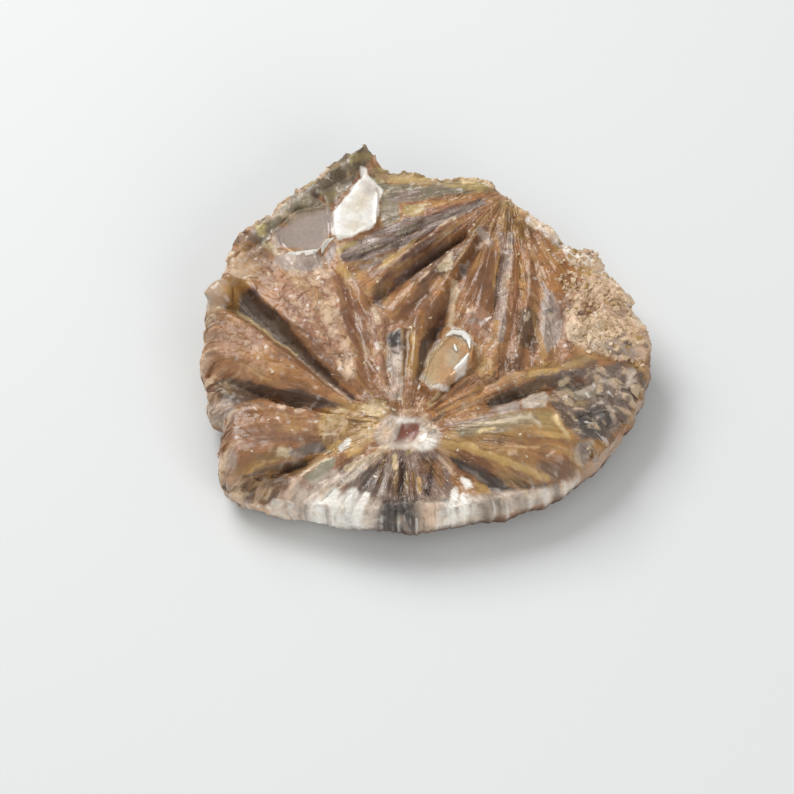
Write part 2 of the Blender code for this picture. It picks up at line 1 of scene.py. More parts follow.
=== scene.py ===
"""The looks of the gypsum specimen: amber blades, clear plates, sugary rim, pale striated wall and dark crust.

Lengths are in millimetres until a mesh is written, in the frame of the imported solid: +X right, +Y away from the
near rim, +Z up, with the origin on the floor under the middle of the specimen.
"""

import math
import random
from collections import namedtuple

import bmesh
import bpy
import numpy as np
from mathutils import Matrix, Vector
from mathutils.bvhtree import BVHTree


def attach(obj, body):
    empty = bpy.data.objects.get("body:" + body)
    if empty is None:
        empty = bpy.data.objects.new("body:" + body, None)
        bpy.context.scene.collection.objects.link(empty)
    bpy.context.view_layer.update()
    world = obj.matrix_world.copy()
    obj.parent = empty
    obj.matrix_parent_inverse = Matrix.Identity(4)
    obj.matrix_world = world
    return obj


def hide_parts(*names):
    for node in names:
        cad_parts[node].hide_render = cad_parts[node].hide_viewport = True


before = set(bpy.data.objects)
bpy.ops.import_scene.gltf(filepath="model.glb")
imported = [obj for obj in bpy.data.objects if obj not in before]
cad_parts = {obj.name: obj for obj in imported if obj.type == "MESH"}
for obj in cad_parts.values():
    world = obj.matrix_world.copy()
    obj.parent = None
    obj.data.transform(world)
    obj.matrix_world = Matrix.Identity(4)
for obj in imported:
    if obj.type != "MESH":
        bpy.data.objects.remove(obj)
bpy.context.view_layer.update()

MM = 0.001
NODE = "gypsum_specimen"
MAIN_FOCUS = (-2.35, -13.4)
FOCUS_HEIGHT = 7.5
FAR_FOCUS = (9.25, 18.0)
FAR_ZONE = [(-9.8, 9.4), (-5.6, 2.4), (-3.0, -0.4), (2.0, -1.0), (6.0, -7.4), (12.6, -5.0), (16.0, -3.0),
            (17.4, 4.0), (15.0, 9.4), (10.6, 15.8), (7.2, 19.4), (-5.0, 22.3), (-8.4, 13.0)]
VIEW_ELEVATION = math.radians(55)

# Colours, as seen on the specimen (sRGB, 0 to 255); some also serve as painted shade, painted highlight or painted
# reflection, as marked where they are used
COLOURS = {
    "amber": (154, 108, 70),
    "light_amber": (152, 106, 66),
    "honey": (152, 114, 64),
    "yellow": (188, 152, 94),
    "straw": (222, 196, 148),
    "tan": (192, 158, 124),
    "orange": (164, 112, 62),
    "burnt": (128, 86, 54),
    "red_brown": (132, 90, 64),
    "brown": (106, 78, 56),
    "umber": (96, 76, 62),
    "dark": (72, 52, 42),
    "maroon": (110, 74, 56),
    "pit": (134, 82, 72),
    "rosy": (166, 124, 98),
    "pink": (214, 184, 158),
    "cream": (216, 196, 164),
    "white": (248, 243, 234),
    "pearl": (194, 178, 162),
    "pale_grey": (166, 150, 138),
    "mauve": (134, 114, 104),
    "window": (168, 155, 147),
    "grey": (120, 106, 96),
    "slate": (72, 65, 60),
    "olive": (142, 122, 78),
    "olive_dark": (110, 90, 62),
    "olive_grey": (138, 126, 104),
    "crust": (100, 90, 72),
    "grey_green": (154, 146, 122),
    "yellow_green": (166, 150, 98),
    "frost_and_crest_highlight": (218, 190, 156),
}

# An area of one colour, as it lies when the specimen is seen at the view's elevation: places right of and above
# the main centre, then colour, strength, how grainy it is, how far its laths stand out, how soft its edge is.
Area = namedtuple("Area", "corners colour strength grainy relief soft", defaults=(0.85, 0.15, 0.5, 0.25))
# A streak along a path, with half its width.
Streak = namedtuple("Streak", "corners half_width colour strength grainy relief soft",
                    defaults=(0.85, 0.1, 0.5, 0.12))

LEFT_BLADES = [
    # The far blade and its sugary face
    Area([(-19, 18.5), (-18.4, 20.9), (-16.8, 21.7), (-15.1, 20.9), (-13.6, 18.5), (-7.6, 18.5), (-5.8, 14.3),
          (-3.6, 5.2), (-5.3, 3.5), (-14, 13), (-16.8, 15.4), (-18.8, 15.7)], "amber"),
    Area([(-19, 18.5), (-18.4, 20.9), (-16.8, 21.6), (-15.5, 20.3), (-15.5, 18.5), (-16.4, 16), (-17.9, 15.7)],
          "honey"),
    Streak([(-17.3, 20.9), (-15.8, 19)], 0.4, "orange", 0.7),
    Area([(-17.4, 18.2), (-14, 16.5), (-12.8, 13.3), (-13.8, 13), (-16.2, 15.2), (-17.1, 16.5)], "orange", 0.6,
          0, 0.3),
    Area([(-14.5, 17.3), (-8.4, 17.1), (-6.4, 14.1), (-5.5, 8.4), (-5.8, 5.9), (-13.2, 13), (-14.5, 15.4)],
          "rosy", 0.85, 0.6, 0.3, 0.5),
    Area([(-12.3, 12), (-10.9, 11.6), (-8.4, 9.2), (-9, 8.2)], "red_brown", 0.7, 0.1, 0.3, 0.4),
    Streak([(-13.3, 12.4), (-6, 4)], 0.6, "light_amber", 0.7, 0.1, 0.3),
    Area([(-12.2, 15.4), (-10.6, 15.6), (-9.6, 13.4), (-10.8, 12.4)], "red_brown", 0.45, 0.4, 0.3, 0.6),
    Area([(-8.9, 13.4), (-7.6, 13), (-7, 10.6), (-8.2, 10.8)], "pink", 0.6, 0.8, 0.3, 0.5),
    Area([(-7.1, 7.8), (-5.7, 8.6), (-5.5, 6.1), (-6.4, 5.7), (-7.3, 6.7)], "pink", 0.9, 0.7, 0.3, 0.4),
    Streak([(-6.7, 10), (-6.1, 8.4)], 0.35, "pink", 0.7, 0.6),
    # The red-brown blade beside it, and the pale edge to its right
    Area([(-8, 17.5), (-7.3, 17.3), (-4.4, 13.2), (-3.2, 5.2), (-4.7, 5.1), (-5.5, 9.1), (-6.6, 11.8)],
          "red_brown", 0.95, 0, 0.3, 0.12),
    Area([(-5.1, 9.5), (-3.7, 9.5), (-3.2, 5.2), (-4.7, 4.8)], "amber", 0.7, 0, 0.3, 0.4),
    Area([(-6.3, 16.2), (-3.6, 16.3), (-3.6, 13.3), (-4.2, 13)], "light_amber", 0.9, 0.1, 0.4, 0.15),
    Area([(-3.8, 13.6), (-2.5, 13.8), (-2.1, 6.5), (-1.6, 4), (-2.7, 3.5), (-4.1, 12.7)], "rosy", 0.9, 0.4,
          0.4),
    Streak([(-3.4, 13.2), (-2.9, 12.2)], 0.35, "cream", 0.6, 0.5),
    Streak([(-3, 9.2), (-3.2, 9.6)], 0.25, "white", 0.7, 0.4),
    # The groove, painted dark for the shadow under the edge of the blade beyond it, and the back of the next
    # blade, painted grey for the sky it reflects
    # Painted grey for the sky that the blade's back reflects
    Area([(-18.2, 15.2), (-17.7, 15.4), (-14.6, 12.6), (-11.7, 9.1), (-5.8, 3.7), (-5.8, 3.2), (-18.1, 13.2)],
          "grey", 1, 0.05, 0.3, 0.12),
    # Painted shadow under the edge of the blade beyond
    Area([(-17.8, 15.4), (-16.7, 15.7), (-14, 13.2), (-8.4, 6.7), (-5.4, 3.8), (-5.7, 3.5), (-11.4, 8.7)],
          "dark", 1, 0, 0.3, 0.2),
    # The big amber blade, with painted highlights in straw and pink along its crest
    Area([(-18.3, 13.2), (-5.8, 3.2), (-6.5, 2.7), (-11.4, 4.8), (-13.6, 4.6), (-17.4, 5.9), (-21.6, 8.7),
          (-21.8, 10.5), (-20.9, 12.4)], "amber", 0.95, 0.15, 0.3, 0.12),
    Area([(-21.8, 11.1), (-18.5, 12.6), (-15.5, 10.3), (-12.5, 7.3), (-15.5, 7.2), (-21.7, 8.9)], "light_amber",
          0.8, 0.35, 0.3, 0.6),
    Area([(-18, 11.8), (-16, 11), (-15.2, 9.6), (-17, 10)], "rosy", 0.6, 0.4, 0.3, 0.6),
    Area([(-15.5, 8.6), (-11.4, 6.9), (-8, 4.1), (-14.7, 6.1)], "orange", 0.75, 0.05, 0.3, 0.5),
    Area([(-19.9, 8.7), (-17.9, 8.3), (-14.7, 6.7), (-15.5, 5.7), (-17.9, 6.5), (-19.6, 7.6)], "red_brown", 0.6,
          0.1, 0.3, 0.5),
    # Painted highlights along the crest
    Streak([(-18.3, 13.2), (-12.1, 8.45)], 0.2, "straw", 0.8),
    Streak([(-11.6, 8.05), (-6, 3.4)], 0.17, "pink", 0.75),
    Streak([(-9.8, 5), (-9.6, 4.9)], 0.2, "pink", 0.8),
    # The groove below it: the umber, olive-dark and dark marks are painted shade
    Area([(-20.9, 5.3), (-19.2, 6.1), (-13.6, 4.6), (-11.4, 4.8), (-6.5, 2.8), (-6.6, 2.4), (-9, 2.6),
          (-11.4, 2.4), (-14, 3.7), (-15.5, 3.8), (-18.4, 3), (-20.5, 4.1)], "umber", 1, 0.1, 0.3, 0.15),
    Area([(-20.9, 5.3), (-19, 5.9), (-18.8, 4), (-20.3, 4.1)], "olive_dark", 0.9, 0.2, 0.4, 0.3),
    Streak([(-13.6, 4.1), (-8.7, 3.3)], 0.45, "dark", 0.7),
    Area([(-21.6, 2.9), (-19.9, 3.9), (-18.6, 3.3), (-18.2, 2.2), (-19, 1.3), (-20.8, 1.7)], "pale_grey", 0.9,
          0.6, 0.5, 0.3),
    # The short amber blade
    Area([(-17.9, 2.6), (-16.8, 3.5), (-15.2, 3.5), (-11.4, 2.2), (-9.5, 2.4), (-8.6, -1.1), (-9.5, -0.9),
          (-13, -2.2), (-17.9, -3.3), (-18.9, -1.4), (-18.6, 0.8)], "amber", 0.95, 0.2, 0.3, 0.15),
    Area([(-17.6, 2.6), (-15.5, 3.3), (-11.4, 1.8), (-13, 1.1), (-16.8, 1.1)], "light_amber", 0.85, 0.3, 0.3,
          0.4),
    Area([(-16.8, 0.4), (-14.7, 0), (-11.4, 0.2), (-9.8, 0), (-11.4, -1.1), (-14.7, -1.4), (-17.7, -2.2),
          (-17.9, -1.1)], "red_brown", 0.7, 0.05, 0.3, 0.5),
    Area([(-19.1, 0), (-18.2, 0.4), (-17.9, -2), (-18.8, -2.4)], "rosy", 0.7, 0.3, 0.4, 0.3),
    Streak([(-13.7, 3), (-13.1, 2.8)], 0.3, "pink", 0.9, 0.4),
    Streak([(-11.8, 2.2), (-10.7, 2.6)], 0.22, "pink", 0.8, 0.4),
    Streak([(-15.4, 1.9), (-14, 1.6)], 0.3, "rosy", 0.7, 0.5),
    Streak([(-18.4, -4.7), (-15.2, -2.9), (-13.2, -2.3)], 0.55, "honey", 0.95, 0.05, 0.3),
    Streak([(-17.2, -4.6), (-15.5, -3.6), (-13.6, -3)], 0.14, "yellow", 0.8),
    Streak([(-13.5, -2.2), (-12.8, -2.3)], 0.4, "cream", 0.8),
    # The groove below the yellow ridge, painted dark for its shade
    Area([(-17.9, -4.8), (-11.4, -2.8), (-10.5, -3), (-10.8, -4.1), (-12.3, -5), (-13.8, -4.3), (-17.1, -5)],
          "dark", 0.95, 0, 0.3, 0.15),
    Area([(-12.7, -2.2), (-10.9, -1.3), (-9, -0.9), (-8.2, -2), (-11.8, -2.8)], "grey", 0.95, 0.05, 0.3, 0.12),
    Streak([(-12.2, -2.4), (-11.2, -2.6)], 0.25, "pale_grey", 0.9),
    # Painted shade at the groove's inner end
    Streak([(-8.8, -1.8), (-8, -2.2)], 0.3, "dark", 0.8),
    # The low brown corner
    Area([(-20.3, -2.8), (-18.8, -1.7), (-18.2, -2.6), (-18.4, -4.1), (-20.1, -4.1)], "pale_grey", 0.7, 0.6),
    Area([(-20.4, -5.2), (-13.6, -4.8), (-12.5, -5.2), (-13.2, -7.4), (-13.8, -8.3), (-18.2, -6.7),
          (-19.9, -6.5)], "brown", 0.95, 0.2, 0.4, 0.2),
    Area([(-20.1, -4.6), (-18.2, -4.8), (-18.6, -5.9), (-20, -5.7)], "orange", 0.8, 0.3, 0.4, 0.3),
    Area([(-15.2, -6.9), (-13.4, -6.6), (-13.2, -8), (-14.6, -8)], "umber", 0.9, 0.2, 0.4, 0.3),
    Area([(-17, -5.4), (-14.6, -5.4), (-14.8, -6.4), (-16.8, -6.6)], "olive_dark", 0.5, 0.2, 0.4, 0.4),
    Streak([(-18.8, -7.2), (-13, -9.5)], 0.5, "pink", 0.9, 0.5),
    # The grey-green lens and the rosy plates
    Area([(-13.2, -6.8), (-12.3, -5.2), (-10.3, -5), (-7.1, -3.9), (-6.5, -5), (-9.8, -7.2), (-10.1, -9),
          (-12, -9), (-12.9, -7.9)], "pearl", 0.9, 0.25, 0.4, 0.2),
    Area([(-11.8, -5.2), (-10.2, -5.3), (-10, -6.2), (-11.4, -6.3)], "rosy", 0.7, 0.2, 0.4, 0.3),
    Area([(-11.1, -4.8), (-8.6, -3), (-7.5, -2.8), (-7.7, -3.9), (-9, -5), (-10.5, -5.4)], "grey_green", 1, 0,
          0.2, 0.12),
    Streak([(-11.4, -4.8), (-10.1, -3.7), (-8.4, -2.95)], 0.13, "cream", 0.9),
    Streak([(-12.9, -7), (-12.3, -5.7), (-11.4, -5)], 0.16, "pink", 0.9),
    Streak([(-6.5, -5), (-9.2, -7.2)], 0.2, "brown", 0.8),
    Streak([(-9.4, -6.9), (-7.4, -5.8)], 0.2, "cream", 0.8),
]

FAR_LEFT = [
    # The rough crust and its yellowish patches
    Area([(-17.6, 21.1), (-15.8, 23.6), (-5, 31.9), (-3.2, 30.7), (-4, 29.6), (-11.4, 24.7), (-14.1, 22.5),
          (-15.5, 20.3)], "crust", 0.95, 0.3, 0.6, 0.3),
    Area([(-15.4, 24.2), (-11.7, 26.7), (-8.2, 24.7), (-13.6, 22.8), (-14.9, 21.7)], "olive_grey", 0.95, 0.3,
          0.4, 0.3),
    Area([(-9.5, 26.5), (-4.7, 29), (-5.8, 27.2), (-8.4, 24.9)], "olive_grey", 0.95, 0.3, 0.4, 0.2),
    Area([(-9, 26.2), (-7.2, 27), (-7.4, 25.9), (-8.4, 25.2)], "yellow_green", 0.5, 0.2, 0.4, 0.3),
    Streak([(-10.5, 26.8), (-9.6, 25.6)], 0.3, "dark"),
    Streak([(-13, 25.3), (-10.8, 26.4)], 0.14, "umber", 0.7),
    Area([(-16.4, 22.8), (-15.3, 23), (-15.1, 21.5), (-16.2, 21.6)], "yellow_green", 0.9, 0.3, 0.4, 0.2),
    Streak([(-15.3, 20.5), (-14.2, 19.8)], 0.4, "yellow_green", 0.8, 0.4),
    Streak([(-10.8, 27.4), (-10.1, 27.6)], 0.4, "yellow_green", 0.8, 0.4),
    Streak([(-5.8, 30.1), (-4, 30.3)], 0.45, "yellow_green", 0.6, 0.4),
    Streak([(-8.9, 28.2), (-6.2, 30.2)], 0.22, "olive_dark", 0.7),
    Streak([(-16.8, 21.4), (-14.4, 17.9)], 0.35, "brown", 0.7),
    Area([(-14.6, 21.6), (-13.8, 22.4), (-13.6, 20.2), (-14.4, 19.6)], "pale_grey", 0.8, 0.4, 0.4, 0.3),
    # The clear window, the white bar at its foot and the lilac face below
    Area([(-14, 19.6), (-9.7, 19.7), (-8.8, 18.9), (-9.2, 17.4), (-13, 17.4), (-14.5, 18.5)], "pale_grey", 0.9,
          0.3, 0.3, 0.3),
    Streak([(-12.3, 17.3), (-11.2, 17.2)], 0.4, "pink", 0.8, 0.6),
    Streak([(-9.6, 17.4), (-8.4, 17.5)], 0.5, "pink", 0.8, 0.6),
    Area([(-14, 22.3), (-10.8, 24), (-8.3, 24.6), (-7.9, 22.2), (-9, 21), (-9.4, 20), (-13, 20.1),
          (-13.9, 20.7)], "window", 1, 0, 0, 0.2),
    Area([(-8.4, 20.5), (-7.7, 21.1), (-7.5, 19.8), (-8.2, 18.5), (-8.6, 19.3)], "mauve", 0.9, 0, 0.3, 0.12),
    Area([(-7.5, 20.8), (-6.4, 20.9), (-6.6, 19.6), (-7.4, 19.6)], "cream", 0.7, 0.2, 0.3, 0.3),
    # The brilliant facet, whose white, cream and pearl are a painted reflection of the light, and the olive
    # crystals behind it
    Area([(-3.6, 28.5), (-2.3, 27.6), (-1.1, 25.8), (-0.5, 23.6), (-2.2, 22.2), (-2.9, 23.6), (-2.7, 25.8),
          (-3.8, 27.4)], "olive_grey", 0.95, 0.2, 0.4, 0.2),
    # Painted reflection of the light on the facet
    Area([(-4.9, 29.3), (-4, 29.1), (-4, 28.4), (-2.5, 26.5), (-3, 25), (-2.9, 23.6), (-3.6, 22.3),
          (-7.4, 21.1), (-7.9, 22.2), (-8, 24), (-5.9, 26.8), (-4.6, 27.9)], "white", 1, 0.1, 0.1, 0.12),
    Area([(-6.6, 24.6), (-5, 26.6), (-3.6, 26), (-4.2, 24.8), (-5.4, 24.2)], "cream", 0.6, 0.1, 0.1, 0.5),
    Area([(-6.8, 22.8), (-5.2, 23.6), (-4.2, 22.8), (-5.8, 22)], "cream", 0.55, 0.1, 0.1, 0.4),
    Area([(-4.7, 27.8), (-3.8, 27.6), (-2.9, 26.3), (-4.5, 26.1)], "pearl", 0.7, 0.1, 0.1, 0.3),
    # The blade at the far edge
    Area([(-3.8, 28.9), (-1.1, 29.5), (2.2, 28.9), (4.9, 27.9), (7.1, 28.6), (9.2, 28.2), (9.8, 26.8),
          (8.2, 26.3), (3.8, 27.1), (-3.2, 27.4)], "yellow_green", 0.8, 0.1),
    Area([(-0.6, 28.6), (2.6, 28.2), (4, 27.4), (0, 27.6)], "yellow", 0.5, 0.1, 0.5, 0.4),
    Area([(6, 28), (7.9, 28.4), (8.6, 27.4), (6.4, 27.3)], "straw", 0.9, 0.1, 0.4, 0.2),
    Streak([(-3.6, 28.4), (-1.8, 28.2)], 0.3, "olive_dark", 0.8),
    Area([(-2.7, 27.1), (4.9, 27.1), (8.2, 26.1), (7.1, 25.4), (3.8, 25.7), (-1.4, 25.2), (-2.5, 26.3)],
          "olive_grey", 0.95, 0.1, 0.6, 0.2),
    Streak([(-1.4, 25.6), (1.4, 26.2)], 0.4, "mauve", 0.8, 0.1, 0.7),
    Area([(-0.1, 24.9), (2.1, 25), (1.8, 24.1), (0.8, 23.7), (-0.1, 23.9)], "yellow_green", 0.9, 0.1, 0.4,
          0.15),
    Streak([(1.2, 24.2), (2.1, 24.9)], 0.2, "cream", 0.8),
    Area([(2.1, 24.7), (4.3, 25), (4.9, 24.3), (2.2, 23.5)], "red_brown", 0.9, 0.1, 0.5, 0.2),
    Streak([(3.3, 25.1), (4.9, 25.7), (8.2, 25.9)], 0.4, "orange", 0.9),
    # The bundle of thin plates
    Area([(-7.1, 18.9), (-6.8, 20.2), (0, 23.5), (2.7, 23.9), (8.2, 25.7), (9.2, 25.2), (7.9, 24.3),
          (5.4, 23.3), (1.4, 21.1), (-3.8, 18.9), (-6, 18.3)], "mauve", 1, 0, 1, 0.15),
    Streak([(-6.5, 18.9), (-3.3, 20.2), (-0.5, 20.8)], 0.22, "umber", 0.85, 0, 1),
    Streak([(-2.2, 21.7), (2.2, 23.3)], 0.18, "umber", 0.85, 0, 1),
    Streak([(-3.4, 21.2), (1.6, 22)], 0.16, "brown", 0.8, 0, 1),
    Streak([(0, 22.9), (7, 25.2)], 0.15, "maroon", 0.7, 0, 1),
    Streak([(-0.6, 22), (1.1, 22.6)], 0.35, "olive_grey", 0.8, 0, 1),
    Streak([(2.7, 22.8), (7.4, 24.8)], 0.3, "pale_grey", 0.85, 0, 1),
    Streak([(-5.8, 20.2), (-3.3, 20.9)], 0.3, "pale_grey", 0.7, 0, 1),
    Streak([(-5.2, 19.6), (-1.8, 20.5)], 0.12, "cream", 0.45, 0, 1),
    Streak([(3.8, 22.6), (5.4, 23.4)], 0.16, "cream", 0.8),
    Streak([(-7.1, 20), (-5.6, 20.8)], 0.3, "yellow_green", 0.8),
    # Below the bundle, and the tan lens
    Area([(-6.8, 18.5), (-2.2, 19.1), (-3.3, 17.4), (-4.9, 16.7), (-6.5, 16.7)], "burnt", 0.85, 0.1, 0.5, 0.2),
    Streak([(-7, 17.9), (-6.6, 17.5)], 0.45, "yellow", 0.8),
    Streak([(-5.1, 17.2), (-3.4, 16.4)], 0.4, "orange", 0.8),
    Streak([(-4.7, 18), (-1.4, 19.3)], 0.2, "pale_grey", 0.8),
    Streak([(-4.9, 18.5), (-2.4, 19.3)], 0.12, "umber", 0.8),
    Area([(-2.9, 17.8), (-2.3, 18.9), (0.8, 21.1), (1.6, 21.2), (-1.8, 18), (-2.7, 17.6)], "yellow", 1, 0, 0.2,
          0.1),
    Streak([(-2.7, 17.4), (0.4, 19.8)], 0.13, "pink", 0.7),
    # The valley, painted maroon and dark for the shadow that fills it
    Area([(-3.6, 14.6), (-3.6, 16), (3.5, 22.2), (5.4, 23), (6.5, 22.8), (2.2, 18.9), (-2.5, 13.7)], "maroon",
          1, 0, 0.4, 0.15),
    Streak([(-0.7, 16.5), (4.3, 20.3)], 0.45, "mauve", 0.75),
    Streak([(1.6, 20.9), (5.1, 22.9)], 0.35, "burnt", 0.9),
    Area([(-3.4, 14.4), (-3.2, 15.8), (-1.6, 16), (-1.8, 14.4), (-2.6, 13.8)], "dark", 0.7, 0, 0.4, 0.3),
    Streak([(-3.2, 14), (-2.4, 13.6)], 0.35, "grey", 0.8, 0.5),
]

MIDDLE = [
    # Right of the valley
    Area([(1.6, 18.5), (5.4, 21.4), (8.7, 22.5), (9.6, 20.4), (4.3, 17.1), (5, 14.4), (3.8, 14.3), (1.6, 15.2),
          (0, 16.3)], "brown", 0.6, 0.15, 0.6, 0.3),
    Area([(5.4, 21.4), (6.5, 22.8), (9.8, 24.4), (10.6, 22.4), (9.2, 20.6), (7.4, 20.6)], "burnt", 0.7, 0.1,
          0.7),
    Area([(7.2, 24.2), (10.2, 25.4), (10.4, 22.8), (8.4, 22.8)], "amber", 0.8, 0.1, 0.7, 0.3),
    Area([(3.5, 18.5), (4.6, 19.6), (5.2, 19.8), (5.1, 18.5), (4.5, 17.6), (3.6, 17.6)], "cream", 0.8, 0.2, 0.3,
          0.12),
    Area([(2.6, 16.5), (3.8, 17.2), (4.6, 16.3), (4.2, 15.2), (3.4, 14.6), (2.7, 15.4)], "orange", 0.85, 0.1,
          0.3, 0.2),
    Area([(5.9, 18.5), (7.3, 18.7), (7.1, 17), (6.3, 16.6)], "pale_grey", 0.85, 0.7, 0.5, 0.2),
    Streak([(6.2, 18), (6.6, 17.6)], 0.3, "slate", 0.6),
    Streak([(2, 16.2), (2.9, 17.4)], 0.12, "dark", 0.8),
    Streak([(1.7, 16.6), (2.6, 17.6)], 0.14, "pink", 0.7),
    Streak([(8.3, 22.2), (9.2, 20.8)], 0.4, "pale_grey", 0.7, 0.4),
    Streak([(8, 20.1), (9, 20.8)], 0.2, "pink", 0.7, 0.4),
    Streak([(5.5, 16.3), (4.9, 11.8)], 0.45, "cream", 0.65, 0.3),
    Streak([(4.4, 14.9), (4.1, 13.2), (3.3, 12)], 0.22, "rosy", 0.7, 0.4),
    # The amber crystal and its dark core
    Area([(-2.3, 14.1), (0, 16.5), (1.6, 16), (2.5, 14.9), (2.9, 13.3), (1.6, 12), (-2.1, 10.8), (-2.5, 12.2)],
          "amber", 0.95, 0.1, 0.3, 0.15),
    Area([(-1.8, 13.8), (1.4, 14.3), (0.3, 12.2), (-1.6, 12.4)], "burnt", 0.9, 0, 0.2, 0.3),
    Area([(1.4, 14.6), (2.6, 14.8), (2.7, 13.4), (1.6, 12.6)], "burnt", 0.8, 0, 0.3, 0.3),
    Streak([(-2, 11.4), (-0.4, 11.9)], 0.35, "rosy", 0.7),
    Streak([(0.7, 12.9), (1.1, 12.9)], 0.35, "rosy", 0.8, 0.3),
    Streak([(1.9, 13), (2, 10.4)], 0.25, "orange", 0.8),
    # The black and white crystal, the yellow blade, and the gap left of the clear flake, painted dark for its
    # shadow
    Area([(-2.2, 10.7), (-0.3, 11.2), (-0.3, 6.5), (-1, 6.1), (-2.1, 6.5)], "pale_grey", 0.95, 0.5, 0.5, 0.1),
    Area([(-2.1, 10.7), (-0.4, 11.1), (-0.5, 9.5), (-1.8, 9.2)], "slate", 1, 0.3, 0.5, 0.15),
    Area([(-1.4, 8.6), (-0.4, 8.7), (-0.4, 7), (-1.6, 7.2)], "pearl", 0.9, 0.5, 0.5, 0.2),
    Streak([(-1.4, 8.9), (-0.7, 8.5)], 0.14, "slate", 0.8),
    Streak([(0, 11.2), (-0.1, 6.4)], 0.26, "brown", 0.9),
    Area([(-1.8, 6.1), (-0.3, 6.1), (-0.2, 3.2), (-1.6, 3.4)], "pearl", 0.7, 0.5, 0.4, 0.3),
    Area([(0.4, 11.6), (1.2, 12), (1.5, 10), (1.4, 7.3), (0.8, 5.9), (0.2, 5.9), (0.1, 8.9)], "honey", 1, 0,
          0.2, 0.12),
    Streak([(0.9, 11.2), (1.2, 9.6)], 0.3, "yellow", 0.8),
    Area([(3.8, 14.3), (4.9, 14.6), (4.8, 11.9), (3.8, 11.1), (2.7, 11), (2.6, 12.4)], "red_brown", 0.9, 0, 0.4,
          0.3),
    # Painted shadow left of the clear flake
    Area([(2.7, 11.4), (4.5, 12), (2.9, 9.1), (1.4, 5.4), (1.2, 5.9), (1.8, 10)], "dark", 1, 0, 0.4, 0.15),
    Streak([(1.9, 10.6), (2.6, 11)], 0.2, "olive", 0.6),
    # The clear flake: what is seen in it, and white marks that are painted reflections of the light
    Area([(5.1, 11.6), (6, 11.5), (7.3, 10.5), (7.6, 9.5), (7.1, 7), (6.5, 5.9), (3.6, 4.2), (1.8, 5.4),
          (1.7, 6.1), (2.9, 8.7)], "tan", 1, 0.1, 0.1, 0.12),
    Area([(2.2, 7.2), (3.4, 9.6), (4.4, 9.8), (3.4, 4.8), (2, 5.8)], "cream", 0.8, 0.1, 0.1, 0.3),
    # Painted reflection in white
    Area([(4.6, 9.2), (5.8, 9.6), (5.7, 8), (4.8, 7.2)], "white", 0.7, 0.1, 0.1, 0.12),
    Area([(6.1, 9.6), (7, 9.4), (6.8, 8.4), (6, 8.4)], "brown", 0.4, 0.1, 0.1, 0.3),
    Streak([(3.6, 6.9), (4.6, 9.6)], 0.2, "brown", 0.5),
    # Painted reflections in white on the flake's top, lower right and edges
    Area([(4.8, 10.6), (5.4, 11.5), (7, 10.6), (7.5, 9.4)], "white", 0.9, 0.1, 0.1, 0.1),
    Area([(5.6, 7.6), (6.8, 7.8), (6.6, 6.4), (5.4, 5.6)], "white", 0.85, 0.1, 0.1, 0.1),
    Streak([(1.9, 5.9), (2.9, 4.9), (4.4, 4.7)], 0.3, "white", 0.9),
    Streak([(2.2, 7.3), (3.8, 10)], 0.14, "white", 0.7),
    # The plates between the flake and the far crystals
    Area([(6.6, 13), (8.2, 14.3), (9.5, 14.6), (9.9, 13), (8.6, 9.2), (7.4, 10.8)], "rosy", 0.85, 0.3, 0.4,
          0.3),
    Streak([(7, 13.2), (7.6, 13.4)], 0.22, "pink", 0.9, 0.4),
    Streak([(8.2, 11.8), (9.2, 12.4)], 0.16, "white", 0.8, 0.4),
    Streak([(6.8, 12.3), (8.4, 12)], 0.3, "mauve", 0.6),
    Area([(7.6, 9.6), (9.6, 10.6), (10.8, 10), (10.2, 8.2), (8.2, 6.6), (7.4, 7.4)], "light_amber", 0.85, 0.35,
          0.4, 0.4),
    Area([(8.2, 8), (9.6, 7.8), (9.2, 6.2), (7.8, 6)], "yellow_green", 0.5, 0.3, 0.4, 0.4),
    Area([(7.1, 19.8), (8.9, 20.2), (10.3, 19.6), (10.9, 17.6), (10.3, 14.3), (9.5, 12.6), (7.9, 14.3),
          (6.8, 14.3), (6.6, 16.5)], "burnt", 0.9, 0, 0.3, 0.15),
    Area([(7.4, 17.8), (8.8, 18.2), (9, 15.2), (7.4, 15.4)], "red_brown", 0.6, 0, 0.2, 0.5),
    # Streaks between the flake, the ridge and the centre
    Area([(2.2, 1.5), (3.8, 3.3), (7.1, 4.8), (9, 5.1), (8.8, 3.7), (7.1, 2.4), (3.8, 1.3)], "orange", 0.85,
          0.1, 0.7, 0.2),
    Streak([(3.4, 2.2), (6.6, 4), (8.6, 4.7)], 0.14, "brown", 0.7, 0, 0.8),
    Streak([(5, 2.2), (8.2, 3.4)], 0.12, "cream", 0.5, 0, 0.8),
    Area([(4.6, 5), (7.4, 6.6), (9.8, 7.2), (11.4, 8.2), (12.2, 7.2), (10, 5.4), (6, 4.4)], "amber", 0.8, 0.2,
          0.8, 0.3),
    Streak([(5.4, 4.7), (8.2, 6.2)], 0.14, "brown", 0.7, 0, 0.8),
    Streak([(9.2, 5.7), (11.4, 7.9)], 0.14, "dark", 0.6, 0, 0.8),
    Streak([(8.6, 5.9), (10.8, 7.7)], 0.14, "orange", 0.8, 0, 0.8),
    Streak([(2.7, 3), (3.7, 3.95)], 0.25, "straw", 1),
    Streak([(1.7, 0.4), (4.3, 2.2)], 0.22, "brown"),
]

